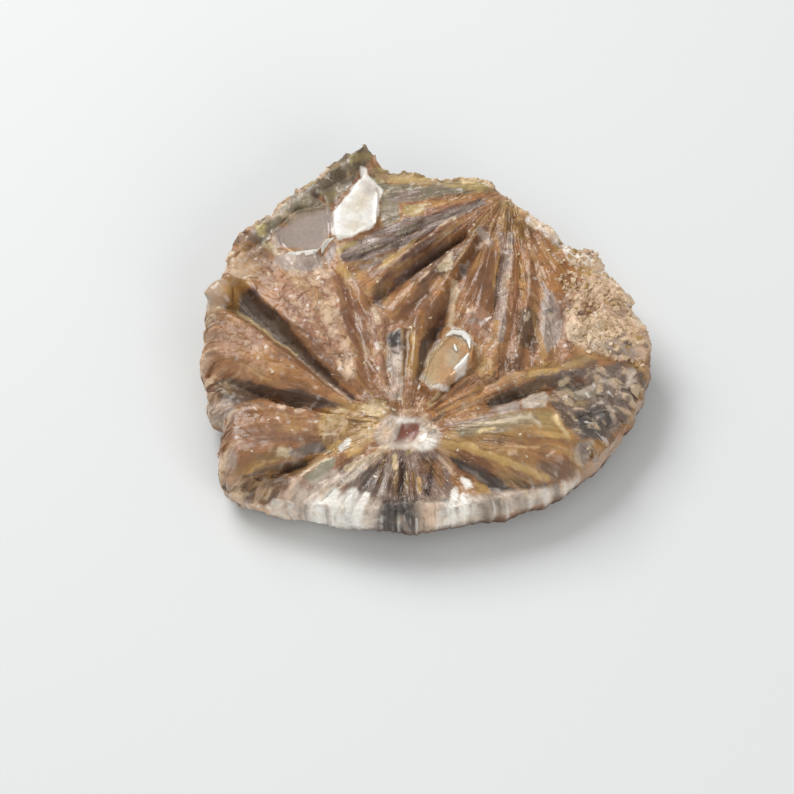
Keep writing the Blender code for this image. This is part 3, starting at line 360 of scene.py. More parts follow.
FAR_RIGHT = [
    # The thin crystals that point at the far centre
    Area([(10.3, 25.2), (11.6, 25.6), (13.4, 24.3), (14.2, 22.5), (13.6, 20.9), (11.6, 20.9), (10.5, 22.5)],
          "honey", 0.85, 0.2, 0.7),
    Streak([(11, 25), (12.8, 24.2)], 0.35, "yellow", 0.6),
    Area([(11.8, 20.9), (13.4, 20.9), (14.2, 18), (13.6, 13.3), (12.5, 11.1), (11.8, 14.3)], "amber", 0.8, 0.15,
          0.9),
    Streak([(10.5, 21.7), (10.9, 18.5), (9.9, 12.4)], 0.4, "mauve", 0.75, 0.1, 0.9),
    Streak([(11.6, 21.4), (10.4, 10)], 0.4, "pale_grey", 0.8, 0.5, 0.9),
    Streak([(11.5, 16.4), (11.9, 12.6), (11.6, 10.4)], 0.22, "rosy", 0.7, 0.5, 0.9),
    Streak([(12.3, 16), (12.2, 12)], 0.3, "red_brown", 0.7, 0, 0.9),
    Streak([(13.4, 18.5), (13.7, 15.2)], 0.16, "pink", 0.8, 0.3, 0.9),
    Area([(12.4, 13), (13.6, 13.8), (14.7, 12.4), (14.9, 10), (14.2, 8.7), (12.7, 9.5), (12.3, 11.1)], "brown",
          0.95, 0.1, 0.8),
    Streak([(13.6, 12.9), (13.2, 12.2)], 0.2, "cream", 0.6, 0.5),
    Area([(14.8, 14.3), (16, 15.6), (17.1, 13.3), (17.1, 10), (15.5, 8.7), (14.9, 11.1)], "pale_grey", 0.9, 0.3,
          0.8, 0.2),
    Streak([(15.2, 16.2), (15.6, 14.6), (16.4, 13.6)], 0.4, "mauve", 0.8, 0.1, 0.8),
    Streak([(16.9, 13.6), (17.3, 10.6)], 0.45, "mauve", 0.6, 0.2, 0.8),
    Streak([(15.2, 12.9), (16.2, 13.1)], 0.25, "slate", 0.5, 0.2),
    Area([(14.7, 20.9), (16, 21.8), (17.7, 20.9), (19.5, 15.7), (18.5, 14.9), (16.8, 15.2), (15.5, 16),
          (14.8, 18.5)], "orange", 0.95, 0.15, 0.4, 0.2),
    Area([(15, 19.8), (16.6, 20.4), (17.2, 18.8), (15.6, 18)], "honey", 0.6, 0.1, 0.4, 0.5),
    Area([(16.4, 16.9), (18.4, 17.6), (19.2, 16), (17.6, 15.2)], "burnt", 0.7, 0.1, 0.4, 0.4),
    # The sugary rim
    Area([(17.9, 20.9), (24, 16.7), (25.3, 14.3), (27, 9.5), (26.4, 8), (23.9, 7.8), (21.2, 8.4), (18.5, 9.5),
          (17.4, 11.1), (18.5, 14.3), (19.6, 16)], "pink", 0.95, 1, 0.6, 0.3),
    Streak([(13.8, 23.5), (16.6, 21.4), (18.7, 19), (20.3, 18.7), (21.7, 17.3), (23.4, 16.7), (24.6, 14.8),
            (25.6, 12)], 0.55, "white", 0.85, 1, 0.6, 0.25),
    Area([(17.6, 11.6), (19.6, 12.4), (22.6, 12.4), (23.4, 10.2), (21, 9.2), (18.4, 9.8)], "cream", 0.7, 0.9,
          0.6, 0.5),
    Area([(19.2, 14.3), (21, 14.7), (21.2, 13.3), (19.9, 12.6)], "light_amber", 0.95, 0.6, 0.5, 0.3),
    Area([(21.8, 14.6), (23.6, 14.8), (23.8, 13.5), (22.5, 13)], "honey", 0.9, 0.6, 0.5, 0.3),
    Area([(19, 18.3), (20.5, 18.3), (20.5, 17.2), (19.2, 17)], "yellow", 0.9, 0.6),
    Area([(18.7, 13.3), (20.1, 13), (19.9, 12), (18.8, 12.2)], "burnt", 0.9, 0.3, 0.5, 0.2),
    Area([(24.2, 12), (25.6, 11), (25.4, 9.8), (24, 10.6)], "yellow", 0.5, 0.7, 0.5, 0.4),
    Streak([(22.6, 9.9), (23.8, 10.6)], 0.35, "mauve", 0.8, 0.5),
    Streak([(24.1, 9.7), (24.4, 9.6)], 0.3, "umber", 0.9, 0.3),
    Area([(20.2, 9.8), (22.4, 10), (25.6, 8.8), (25.4, 7.8), (19.8, 8.8)], "pale_grey", 0.75, 0.8, 0.6, 0.4),
    # The brown lens, the yellow ridge and the gap under it, painted dark and umber for the shade below the ridge's
    # crest
    Area([(16.8, 7.6), (19, 8.3), (21.2, 7.8), (21, 7), (19, 6.5), (17.1, 6.7)], "brown", 0.95, 0.1, 0.5, 0.2),
    Area([(9, 3.8), (10.4, 5.4), (12.8, 7), (15.6, 7.9), (16.9, 7.6), (16.9, 6.4), (13.6, 5.8), (11, 4)],
          "amber", 0.9, 0.1, 0.5, 0.2),
    Streak([(10.3, 4.4), (12.5, 5.9), (14.7, 6.9), (16.8, 7.1)], 0.5, "honey", 0.85, 0),
    Streak([(13.8, 6.3), (16.6, 6.5)], 0.3, "yellow", 0.9),
    Streak([(9.4, 3.6), (11.6, 5)], 0.35, "burnt"),
    # Painted shade below the ridge
    Streak([(9.3, 5), (10.2, 5.8)], 0.16, "dark", 0.8),
    Streak([(9.5, 3), (15.2, 5.5), (17.3, 5.3)], 0.6, "umber", 1, 0, 0.4),
    Streak([(14.4, 5.9), (16.8, 6)], 0.2, "mauve", 0.8),
    Area([(12.5, 3.5), (13.6, 4.1), (15.2, 4.3), (15.8, 3.7), (15.2, 2.6), (12.7, 2.6)], "pearl", 1, 0.4, 0.4,
          0.15),
    Area([(9.6, 2.6), (12.4, 3.3), (12.4, 2.4), (10.6, 1.7)], "pale_grey", 0.95, 0.3, 0.4, 0.2),
    # The mottled lower right
    Area([(16.8, 6.5), (21.2, 7), (23.2, 7.6), (26, 6.5), (26.3, 5.1), (24.1, 0.8), (21.7, -1.1), (19, -0.7),
          (17.4, 0.8), (15.8, 3.5), (16.8, 5.1)], "grey", 0.9, 0.8, 0.8, 0.3),
    Area([(15.6, 3.6), (16.8, 3.9), (18.4, 1.6), (18.2, 0.4), (17.2, 0.6)], "umber", 0.75, 0.5, 0.6, 0.3),
    Area([(18.8, 2.2), (21.2, 2.8), (22.7, 1.8), (21.4, -0.9), (19.5, -0.6), (18.8, 0.8)], "slate", 0.9, 0.6,
          0.8, 0.3),
    Area([(16.9, 4.6), (19, 4.9), (21, 4.6), (21.2, 3.8), (18.6, 3.6)], "olive_grey", 0.8, 0.7, 0.7, 0.4),
    Area([(18.4, 6.2), (20.4, 5.9), (20.2, 5.1), (18.4, 5.2)], "red_brown", 0.7, 0.3, 0.6, 0.3),
    Area([(18.4, 3.7), (20, 3.5), (19.8, 2.8), (18.6, 2.8)], "olive_dark", 0.8, 0.3, 0.6, 0.3),
    Streak([(17, 5.2), (17.8, 5.7)], 0.28, "cream", 0.9, 0.4),
    Streak([(18.8, 4.3), (20.4, 4.7)], 0.3, "pearl", 0.8, 0.6),
    Streak([(19.6, 6), (21.4, 6.9)], 0.14, "pink", 0.7, 0.4),
    Streak([(21.2, 5.4), (22.6, 5)], 0.3, "pearl", 0.6, 0.6),
    Streak([(20.4, 2.9), (21.6, 3.3)], 0.2, "pearl", 0.7, 0.6),
    Streak([(22.2, 2.6), (22.8, 0.9)], 0.3, "pale_grey", 0.7, 0.6),
    Streak([(22.4, 3.8), (22.6, 3)], 0.25, "dark", 0.6, 0.3),
    Area([(24.2, 6.8), (25, 6.9), (25.1, 5.4), (24.2, 5.2)], "pearl", 0.85, 0.4),
    Streak([(23.4, 7.2), (24.7, 7.6), (25.7, 6.8), (25.8, 5)], 0.3, "dark", 0.85, 0.2),
    Area([(23.4, 5), (24.6, 4.6), (24, 2.4), (23, 2.6)], "grey", 0.7, 0.6, 0.6, 0.4),
]

NEAR_RIGHT = [
    # The silky blade, a painted golden highlight along its ridge, and the groove in front with painted shade
    Area([(3.9, -1), (6, 0.8), (9.2, 1.7), (15.2, 2.6), (16.8, 1.3), (18.5, -0.9), (20.5, -0.9), (20.9, -2),
          (19.8, -3.9), (18.1, -5), (15.2, -5.2), (12.5, -4.3), (9.2, -2.7)], "honey", 0.95, 0.05, 0.4, 0.2),
    Area([(4.9, 0.4), (8.2, 1.5), (12.5, 2.2), (14.7, 2.2), (14.7, 0.9), (6, -0.7)], "olive_grey", 0.75, 0.1,
          0.5, 0.4),
    Streak([(6.2, 0.7), (13.6, 1.6)], 0.22, "cream", 0.75, 0, 0.6),
    Streak([(4.6, 0.9), (7.2, 1.1), (9.6, 2.2)], 0.3, "pale_grey", 0.6, 0.2, 0.7),
    Streak([(8.2, 0), (9.6, 0.5)], 0.2, "straw", 0.7),
    Area([(9.4, -0.9), (16.8, -0.7), (19, -1.4), (17.9, -3.3), (15.2, -4.1), (12, -2.8)], "amber", 0.75, 0, 0.3,
          0.5),
    Area([(14.1, -3.3), (18.5, -2.8), (18.7, -4.9), (16.3, -5.4), (15.2, -4.8)], "brown", 0.85, 0.05, 0.3, 0.4),
    Area([(18.8, -1.1), (20.5, -0.9), (20.7, -2.2), (19.5, -3.9), (18.4, -3)], "pale_grey", 0.9, 0.3, 0.4),
    Streak([(20.3, -1.6), (20, -2.8)], 0.2, "cream", 0.9),
    Area([(14.2, 2), (15.8, 2.2), (16.4, 1.3), (16, 0.2), (14.9, 0.4)], "olive", 0.9, 0.05, 0.3),
    Streak([(16.3, 1.5), (17.5, -0.4)], 0.26, "straw", 0.9),
    Streak([(14.6, 0.1), (17.6, -0.6)], 0.35, "yellow", 0.8),
    Streak([(13.6, 1.9), (14.6, 0.6)], 0.16, "cream", 0.7),
    Streak([(10.4, -1.3), (14.4, -1.6)], 0.12, "straw", 0.4),
    Streak([(15.4, -2.5), (16.2, -2.1)], 0.14, "pink", 0.8),
    Streak([(11.2, -2.3), (12, -2)], 0.2, "pink", 0.6, 0.3),
    # Painted highlight along the ridge; painted shade on the face below it and in the groove
    Streak([(4.2, -1.5), (7.1, -1.7), (15.2, -5)], 0.42, "yellow", 1, 0, 0.2),
    Area([(5.4, -2), (8.2, -2.7), (14.7, -5.3), (15.5, -5.9), (12.5, -6.1), (10.3, -5.8), (8.2, -3.9)], "burnt",
          1, 0, 0.4, 0.15),
    Streak([(6, -2.8), (10.3, -5.2), (13.6, -5.9), (15.2, -5.9)], 0.3, "dark"),
    Streak([(10.2, -4.4), (12.6, -5.2)], 0.22, "umber", 0.6),
    Area([(4.6, -2.6), (6.2, -3.1), (12, -6.3), (10.9, -6.7), (9.2, -6.5), (7.9, -5.2), (6, -4.1)], "slate",
          0.95, 0, 0.2, 0.15),
    Streak([(6.4, -3.8), (8.8, -5.4)], 0.25, "grey", 0.8),
    # Painted glints in yellow and white
    Area([(7.5, -5.2), (8.8, -5.7), (9.2, -6.7), (7.9, -6.7)], "yellow", 0.85, 0.1, 0.3, 0.2),
    Area([(6, -5), (6.8, -5.2), (7.4, -6), (6.6, -6.2), (6, -5.5)], "white", 1, 0.1, 0.2, 0.12),
    Area([(4.9, -6.1), (5.5, -6), (5.8, -7.4), (5.1, -7.4)], "white", 0.9, 0.1, 0.2, 0.15),
]

CENTRE = [
    # The sparkling yellow block left of the centre
    Area([(-9.2, 2.2), (-2.2, 3.7), (-1.8, 2.2), (-3.6, -0.9), (-7.6, -2.5), (-9, -0.9), (-9.5, 0.8)], "yellow",
          0.95, 0.6, 0.5, 0.3),
    Area([(-6.5, 2.6), (-4.9, 3), (-4.6, 1.4), (-6.6, 1.4)], "honey", 0.7, 0.5, 0.5, 0.4),
    Area([(-4.9, 2.9), (-2.1, 3.3), (-2, 2), (-3.8, 1.5), (-4.7, 2.2)], "straw", 0.95, 0.4, 0.4, 0.2),
    Area([(-9.2, 1.3), (-7.4, 1.9), (-6.6, 0.6), (-8.4, 0.2)], "olive", 0.45, 0.5, 0.4, 0.4),
    Area([(-8.8, 0), (-7.2, 0), (-7.4, -1.2), (-8.6, -1)], "rosy", 0.6, 0.5, 0.4, 0.4),
    Area([(-6.2, 0.6), (-4.8, 0.8), (-4.8, -0.4), (-6, -0.4)], "burnt", 0.65, 0.3, 0.4, 0.3),
    Streak([(-4.6, 1.9), (-2.8, 1.3)], 0.16, "burnt", 0.8),
    Streak([(-8, 2), (-6.9, 2.3)], 0.25, "cream", 0.8, 0.4),
    Streak([(-8.6, -0.3), (-7.6, -0.1)], 0.22, "cream", 0.8, 0.4),
    Area([(-6.5, -1.7), (-4.7, -1.5), (-4.9, -2.6), (-6.2, -2.8)], "yellow", 0.85, 0.2, 0.4),
    Streak([(-6.6, -3.4), (-5.8, -3.3)], 0.3, "red_brown", 0.6),
    Streak([(-6, -0.9), (-6.9, -1.8)], 0.3, "white", 1, 0.2),
    # The pearly ring and the maroon pit
    Area([(-2.6, 1.3), (-1.1, 2.2), (2.2, 1.5), (3.8, 0.2), (4, -1.7), (2.2, -2.3), (-2.4, -1.9), (-3.4, -0.5)],
          "pearl", 0.95, 0.5, 0.5, 0.4),
    Area([(-3.2, 0.8), (-1.6, 1), (-1.3, -0.6), (-2.6, -1.2)], "pink", 0.6, 0.6, 0.5, 0.4),
    Area([(1.6, -0.4), (3.4, -0.9), (3.6, -1.7), (1.6, -2), (0.8, -1.3)], "white", 0.7, 0.4, 0.4, 0.3),
    Streak([(-0.8, 1.2), (1, 1.3)], 0.25, "white", 0.6, 0.4),
    Streak([(1.9, -0.5), (2.1, -0.3)], 0.2, "white", 1),
    Streak([(2.5, 0), (3.1, -0.1)], 0.3, "grey", 0.8, 0.3),
    Streak([(-1.3, 2.3), (-0.9, 1.9)], 0.26, "olive_dark", 0.8),
    Area([(-0.3, 1), (1.7, 0.9), (1.5, 0), (0.8, -0.9), (-1.1, -1.1)], "pit", 1, 0, 0.1, 0.1),
    # The short blades in front
    Area([(-7.1, -4.1), (-3.3, -2.5), (-0.5, -2.1), (3.8, -2.2), (5.1, -4.1), (5, -7), (1.6, -7.4),
          (-2.7, -7.4), (-6, -6.8)], "mauve", 0.85, 0.15, 0.9, 0.3),
    Streak([(-2, -1.7), (-6.2, -4)], 0.4, "cream", 0.7, 0.3, 0.8),
    Streak([(-4.6, -3.9), (-7, -5.6)], 0.5, "pearl", 0.8, 0.4, 0.8),
    Streak([(-2.6, -2.6), (-4.4, -3.9)], 0.22, "pink", 0.6, 0.2, 0.8),
    Area([(-4.7, -4.4), (-3.2, -3.9), (-3, -6.7), (-4.4, -6.9)], "grey", 0.85, 0.1, 0.9),
    Streak([(-2.1, -3.2), (-2.9, -5.2)], 0.45, "brown", 0.85, 0, 0.9),
    Streak([(-1.7, -3.6), (-2.4, -6.6)], 0.32, "pale_grey", 0.7, 0.1, 0.9),
    Area([(-0.8, -3.9), (0, -3.3), (0.5, -4.1), (1.2, -4.3), (1.2, -6.8), (-1.6, -7.2), (-1.6, -5.2)], "brown",
          0.95, 0, 0.9, 0.2),
    Streak([(-0.2, -3.6), (-0.5, -6.9)], 0.26, "dark", 1, 0, 0.9),
    Streak([(0.9, -4.6), (0.9, -6.5)], 0.2, "maroon", 0.8, 0, 0.9),
    Streak([(0.3, -4.4), (0.3, -6.2)], 0.14, "olive", 0.7, 0, 0.9),
    Streak([(-1.1, -2.6), (-0.9, -3.9)], 0.26, "straw"),
    Streak([(0.2, -2.5), (0.5, -2)], 0.16, "yellow_green", 0.9),
    Area([(1.4, -3.1), (2.8, -3), (2.6, -4.6), (1.6, -4.6)], "brown", 0.85, 0.1, 0.8),
    Streak([(2.9, -3.2), (2.6, -6.6)], 0.22, "dark", 0.85, 0, 0.9),
    Streak([(1.7, -5.1), (1.7, -6.5)], 0.2, "yellow", 0.75, 0, 0.9),
    Streak([(3.3, -3.6), (3.8, -5.4)], 0.5, "amber", 0.6, 0, 0.8),
    Streak([(3.7, -2.8), (5.4, -4.6)], 0.2, "pink", 0.6, 0.2, 0.8),
]

NEAR_WALL = [
    Area([(-13.4, -9), (-10, -7.6), (-5.8, -6.8), (-2.6, -7.3), (4.9, -7.3), (15.2, -6), (19.2, -4.9),
          (18.4, -6.7), (7.1, -10.2), (2.7, -12), (-3.6, -12.2), (-13, -10.6)], "pearl", 1, 0.4, 0.8, 0.4),
    Area([(-10.3, -7.9), (-8.2, -6.8), (-5.6, -6.6), (-4.9, -9), (-3.4, -10.9), (-6, -11.3), (-9.2, -10.8),
          (-10.7, -9.4)], "white", 1, 0.3, 0.8, 0.9),
    Area([(-2.4, -7.4), (1.4, -7.4), (1.4, -11.8), (-3.2, -11.9), (-2.9, -9)], "slate", 1, 0.2, 0.8, 0.9),
    Streak([(-9.6, -9.6), (-9, -7.4), (-7.6, -6.4)], 0.45, "white", 1, 0.3, 0.8, 0.3),
    Streak([(-7.4, -10.4), (-6.9, -8.2), (-5.6, -6.6)], 0.5, "white", 1, 0.3, 0.8, 0.3),
    Streak([(-5.4, -10.8), (-5, -8.4), (-4.2, -7)], 0.4, "white", 1, 0.3, 0.8, 0.3),
    Streak([(-8.5, -8), (-8.2, -10.2)], 0.25, "pale_grey", 0.7, 0.3, 0.8),
    Streak([(-2.4, -7.5), (4.4, -7.3)], 0.24, "dark"),
    Streak([(4.9, -8.4), (5.3, -6.2)], 0.35, "white", 1, 0.2, 0.8),
    Streak([(6.4, -8.6), (6.3, -6.8)], 0.3, "white", 0.9, 0.2, 0.8),
    Streak([(-0.6, -9.5), (0.4, -10.8)], 0.35, "pale_grey", 0.6, 0.4),
    Area([(1.6, -7.6), (3.8, -7.6), (4, -10.3), (2.7, -11.5), (1.6, -11.7)], "pink", 0.8, 0.3, 0.8, 0.8),
    Area([(4.4, -7.4), (7.1, -6.9), (8.1, -9.2), (4.9, -10.8), (4, -10.5)], "white", 0.7, 0.3, 0.8, 0.9),
    Area([(7.1, -7.4), (10.3, -6.8), (12.5, -6.8), (12.3, -8.2), (8.2, -9.8)], "pale_grey", 0.8, 0.3, 0.8, 0.9),
]

MARKS = LEFT_BLADES + FAR_LEFT + MIDDLE + FAR_RIGHT + NEAR_RIGHT + CENTRE + NEAR_WALL

# Clear cleavage plates: corners, height of the face, its rise away from the viewer, and how deep one sees into it.
Plate = namedtuple("Plate", "corners height rise depth")

PLATES = {
    "clear_plate": Plate([(-16.1, 10.6), (-16.6, 12.6), (-14.3, 15.0), (-10.8, 15.6), (-10.6, 11.4), (-11.8, 9.5),
                          (-14.2, 9.1)], 9.4, 0.06, 0.25),
    "bright_plate": Plate([(-10.1, 11.3), (-10.3, 14.6), (-6.6, 20.0), (-5.3, 17.2), (-5.5, 12.9), (-8.4, 11.2)],
                          9.9, 0.04, 0.0),
    "clear_flake": Plate([(-0.8, -8.6), (0.2, -4.9), (3.0, -1.3), (4.7, -1.6), (5.2, -4.4), (2.9, -7.4),
                          (0.6, -9.2)], 9.9, 0.05, 0.35),
}

# White slivers, painted highlights where an edge of clear crystal catches the light: places along it and half its
# width.
Sliver = namedtuple("Sliver", "points half_width")

SLIVERS = [
    Sliver([(-15.2, 9.3), (-14.3, 9.2), (-13.4, 9.3), (-12.5, 9.5), (-11.9, 9.7)], 0.38),
    Sliver([(-11.5, 9.5), (-11.3, 10.2), (-10.8, 10.9), (-10.1, 11.3)], 0.22),
    Sliver([(-10.2, 12.7), (-10.2, 14.5), (-8.6, 17.0), (-6.7, 19.8)], 0.12),
    Sliver([(1.9, -2.6), (2.9, -1.9), (4.0, -2.0), (4.6, -2.9), (4.7, -4.1)], 0.38),
    Sliver([(4.6, -4.7), (3.9, -5.8), (3.0, -6.8)], 0.34),
    Sliver([(3.0, -3.5), (3.3, -4.4)], 0.2),
    Sliver([(0.2, -4.5), (1.0, -3.3), (1.9, -2.1)], 0.14),
    Sliver([(-0.9, -8.4), (-0.7, -7.3), (-0.2, -6.1)], 0.22),
    Sliver([(-9.7, -16.3), (-9.0, -15.6), (-8.3, -15.3)], 0.14),
]


# Noise on plain arrays, the same in every run
def hashed(i, j, seed):
    """A number from 0 to 1 for each pair of whole numbers."""
    n = i.astype(np.int64) * 374761393 + j.astype(np.int64) * 668265263 + seed * 2147483647
    n = (n ^ (n >> 13)) * 1274126177
    n = n ^ (n >> 16)
    return (n & 0xFFFFFF) / float(0x1000000)


def value_noise(u, v, seed):
    """Smooth noise from -1 to 1."""
    i, j = np.floor(u), np.floor(v)
    fu, fv = u - i, v - j
    fu, fv = fu * fu * (3 - 2 * fu), fv * fv * (3 - 2 * fv)
    low = hashed(i, j, seed) * (1 - fu) + hashed(i + 1, j, seed) * fu
    high = hashed(i, j + 1, seed) * (1 - fu) + hashed(i + 1, j + 1, seed) * fu
    return (low * (1 - fv) + high * fv) * 2 - 1


def layered_noise(u, v, seed, layers=3):
    """Noise with finer layers added, each half as strong as the one before."""
    total = np.zeros_like(u)
    size = 1.0
    for k in range(layers):
        total += value_noise(u / size, v / size, seed + k) * size
        size *= 0.5
    return total / 1.75


def crystal_cells(u, v, seed, wrap=None):
    """The cell that each place is in: three random numbers, and the place's offset from its middle."""
    i, j = np.floor(u), np.floor(v)
    nearest = np.full(u.shape, 9.0)
    cell_i, cell_j = np.zeros_like(u), np.zeros_like(u)
    off_u, off_v = np.zeros_like(u), np.zeros_like(u)
    for di in (-1, 0, 1):
        for dj in (-1, 0, 1):
            ci, cj = i + di, j + dj
            name = np.mod(ci, wrap) if wrap else ci
            du = u - ci - hashed(name, cj, seed)
            dv = v - cj - hashed(name, cj, seed + 1)
            away = du * du + dv * dv
            closer = away < nearest
            nearest = np.where(closer, away, nearest)
            cell_i, cell_j = np.where(closer, name, cell_i), np.where(closer, cj, cell_j)
            off_u, off_v = np.where(closer, du, off_u), np.where(closer, dv, off_v)
    draws = [hashed(cell_i, cell_j, seed + k) for k in (2, 3, 4)]
    return draws, off_u, off_v


def smooth_step(low, high, value):
    """Rises smoothly from 0 at the low value to 1 at the high one; falls where low is above high."""
    t = np.clip((value - low) / (high - low), 0, 1)
    return t * t * (3 - 2 * t)


def mixed(values, target, weight):
    """Colours moved towards another one by a weight for each place."""
    return values + np.asarray(weight)[:, None] * (target - values)


def inside(x, y, polygon):
    """Which places lie inside a polygon."""
    found = np.zeros(x.shape, bool)
    for (x0, y0), (x1, y1) in zip(polygon, polygon[1:] + polygon[:1]):
        crosses = (y0 > y) != (y1 > y)
        found ^= crosses & (x < x0 + (x1 - x0) * (y - y0) / (y1 - y0 + 1e-9))
    return found


def edge_distance(x, y, corners, closed):
    """How far each place is from the nearest side."""
    nearest = np.full(np.shape(x), 99.0)
    ends = corners[1:] + corners[:1] if closed else corners[1:]
    for (x0, y0), (x1, y1) in zip(corners, ends):
        dx, dy = x1 - x0, y1 - y0
        t = np.clip(((x - x0) * dx + (y - y0) * dy) / (dx * dx + dy * dy), 0, 1)
        nearest = np.minimum(nearest, np.hypot(x - x0 - t * dx, y - y0 - t * dy))
    return nearest


def depth_inside(x, y, corners):
    """How far inside a polygon each place is; below zero outside it."""
    x, y = np.asarray(x, float), np.asarray(y, float)
    distance = edge_distance(x, y, corners, True)
    return np.where(inside(x, y, corners), distance, -distance)


def linear(colour):
    """A colour as the shader needs it, from its name or from its sRGB values."""
    value = np.array(COLOURS[colour] if isinstance(colour, str) else colour) / 255.0
    return np.where(value <= 0.04045, value / 12.92, ((value + 0.055) / 1.055) ** 2.4)


class Fine:
    """A fine mesh as arrays: places in millimetres, normals, and the links between neighbours."""

    def __init__(self, mesh):
        count = len(mesh.vertices)
        self.places = np.empty(count * 3)
        mesh.vertices.foreach_get("co", self.places)
        self.places = self.places.reshape(-1, 3) / MM
        self.normals = np.empty(count * 3)
        mesh.vertices.foreach_get("normal", self.normals)
        self.normals = self.normals.reshape(-1, 3)
        links = np.empty(len(mesh.edges) * 2, np.int64)
        mesh.edges.foreach_get("vertices", links)
        self.links = links.reshape(-1, 2)
        self.degree = np.maximum(np.bincount(self.links.ravel(), minlength=count), 1)

    def average(self, values, times):
        """Values spread over their neighbours."""
        if values.ndim == 2:
            return np.stack([self.average(row, times) for row in values.T], axis=1)
        a, b = self.links.T
        count = len(self.degree)
        for _ in range(times):
            total = np.bincount(a, values[b], count) + np.bincount(b, values[a], count)
            values = 0.5 * values + 0.5 * total / self.degree
        return values


def new_object(name, mesh, material=None):
    obj = bpy.data.objects.new(name, mesh)
    bpy.context.scene.collection.objects.link(obj)
    if material:
        mesh.materials.clear()
        mesh.materials.append(material)
    return obj


def applied(obj):
    """The mesh that an object's modifiers make, with the object removed."""
    graph = bpy.context.evaluated_depsgraph_get()
    mesh = bpy.data.meshes.new_from_object(obj.evaluated_get(graph))
    bpy.data.objects.remove(obj)
    return mesh


def seen_at(places):
    """How far right of and above the main centre each place lies, as seen at the view's elevation."""
    right = places[:, 0] - MAIN_FOCUS[0]
    above = (places[:, 1] - MAIN_FOCUS[1]) * math.sin(VIEW_ELEVATION)
    above += (places[:, 2] - FOCUS_HEIGHT) * math.cos(VIEW_ELEVATION)
    return right, above


def mark_weight(mark, u, v):
    """How far each place is covered by an area or a streak, from 0 to 1."""
    if isinstance(mark, Area):
        depth = depth_inside(u, v, mark.corners)
    else:
        depth = mark.half_width - edge_distance(u, v, mark.corners, False)
    return smooth_step(-mark.soft, mark.soft, depth)


def painted(u, v):
    """Colour, graininess and relief, from the marks."""
    wavy_u = layered_noise(u / 1.7, v / 1.7, 31) * 0.30 + layered_noise(u / 0.5, v / 0.5, 51, 2) * 0.14
    wavy_v = layered_noise(u / 1.7, v / 1.7, 41) * 0.30 + layered_noise(u / 0.5, v / 0.5, 61, 2) * 0.14
    u, v = u + wavy_u, v + wavy_v
    colour = np.tile(linear("amber"), (len(u), 1))
    grainy = np.full(len(u), 0.3)
    relief = np.full(len(u), 0.5)
    for mark in MARKS:
        spread = mark.soft + (0 if isinstance(mark, Area) else mark.half_width)
        low = np.min(mark.corners, axis=0) - spread
        high = np.max(mark.corners, axis=0) + spread
        near = np.flatnonzero((u > low[0]) & (u < high[0]) & (v > low[1]) & (v < high[1]))
        weight = mark_weight(mark, u[near], v[near])
        colour[near] = mixed(colour[near], linear(mark.colour), weight * mark.strength)
        grainy[near] += weight * (mark.grainy - grainy[near])
        relief[near] += weight * (mark.relief - relief[near])
    return colour, grainy, relief


# The fine surface
REMESH_DEPTH = 8
UPPER_HEIGHT = 3.4
RESTING_HEIGHT = 0.02
BRIGHTEST = 0.95
SHARP_ANGLE = math.radians(30)
MOST_TRIANGLES = 540000
MOST_IN_A_PIECE = 195000
WORN = 4
FLATTENED = 22
KNOB = (-22.5, 4.7, 8.1)
KNOB_SMOOTHING = 30
PIT_MOUTH = [(-2.65, -12.35), (-0.65, -12.45), (-0.85, -13.85), (-1.65, -15.05), (-3.55, -15.25), (-3.15, -13.65)]


def fine_solid():
    """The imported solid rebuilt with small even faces, worn at its edges and smoothed on the broad blades."""
    bm = bmesh.new()
    bm.from_mesh(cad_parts[NODE].data)
    bmesh.ops.remove_doubles(bm, verts=bm.verts, dist=0.002 * MM)
    mesh = bpy.data.meshes.new("welded")
    bm.to_mesh(mesh)
    bm.free()
    obj = new_object("welded", mesh)
    remesh = obj.modifiers.new("even_faces", "REMESH")
    remesh.mode = "SHARP"
    remesh.octree_depth = REMESH_DEPTH
    remesh.scale = 0.98
    remesh.use_remove_disconnected = False
    mesh = applied(obj)
    fine = Fine(mesh)
    _, _, relief = painted(*seen_at(fine.places))
    flat = smooth_step(0.75, 0.35, fine.average(relief, 4)) * smooth_step(5.5, 6.5, fine.places[:, 2])
    worn = fine.average(fine.places, WORN)
    flattened = fine.average(worn, FLATTENED)
    knob = smooth_step(2.9, 1.9, np.linalg.norm(fine.places - np.array(KNOB), axis=1))
    round_knob = fine.average(worn, KNOB_SMOOTHING)
    places = mixed(mixed(worn, flattened, flat), round_knob, knob)
    places[fine.places[:, 2] < RESTING_HEIGHT, 2] = 0.0
    mesh.vertices.foreach_set("co", (places * MM).ravel())
    mesh.update()
    bm = bmesh.new()
    bm.from_mesh(mesh)
    upper = [edge for edge in bm.edges if all(v.co.z > UPPER_HEIGHT * MM and v.normal.z > 0.1 for v in edge.verts)]
    bmesh.ops.subdivide_edges(bm, edges=upper, cuts=1, use_grid_fill=True)
    bm.to_mesh(mesh)
    bm.free()
    return mesh


def rays(x, y):
    """Angle in degrees and distance from the centre that the crystals here point at, and which centre it is."""
    ragged = layered_noise(x / 1.3, y / 1.3, 11, 2) * 0.8
    far = inside(x + ragged, y - ragged, FAR_ZONE)
    dx = x - np.where(far, FAR_FOCUS[0], MAIN_FOCUS[0])
    dy = y - np.where(far, FAR_FOCUS[1], MAIN_FOCUS[1])
    return np.degrees(np.arctan2(dy, dx)) % 360, np.hypot(dx, dy), far


def inset(x, y, steps=120):
    """How far inside the specimen's outline each place is, measured towards the middle."""
    sector = (np.degrees(np.arctan2(y, x)) % 360 * steps / 360).astype(int) % steps
    away = np.hypot(x, y)
    reach = np.zeros(steps)
    np.maximum.at(reach, sector, away)
    return reach[sector] - away


def face_height(plate, x, y):
    """Height of a cleavage plate's flat face, which rises slightly away from the viewer."""
    middle = np.mean([corner[1] for corner in plate.corners])
    return plate.height + plate.rise * (y - middle)


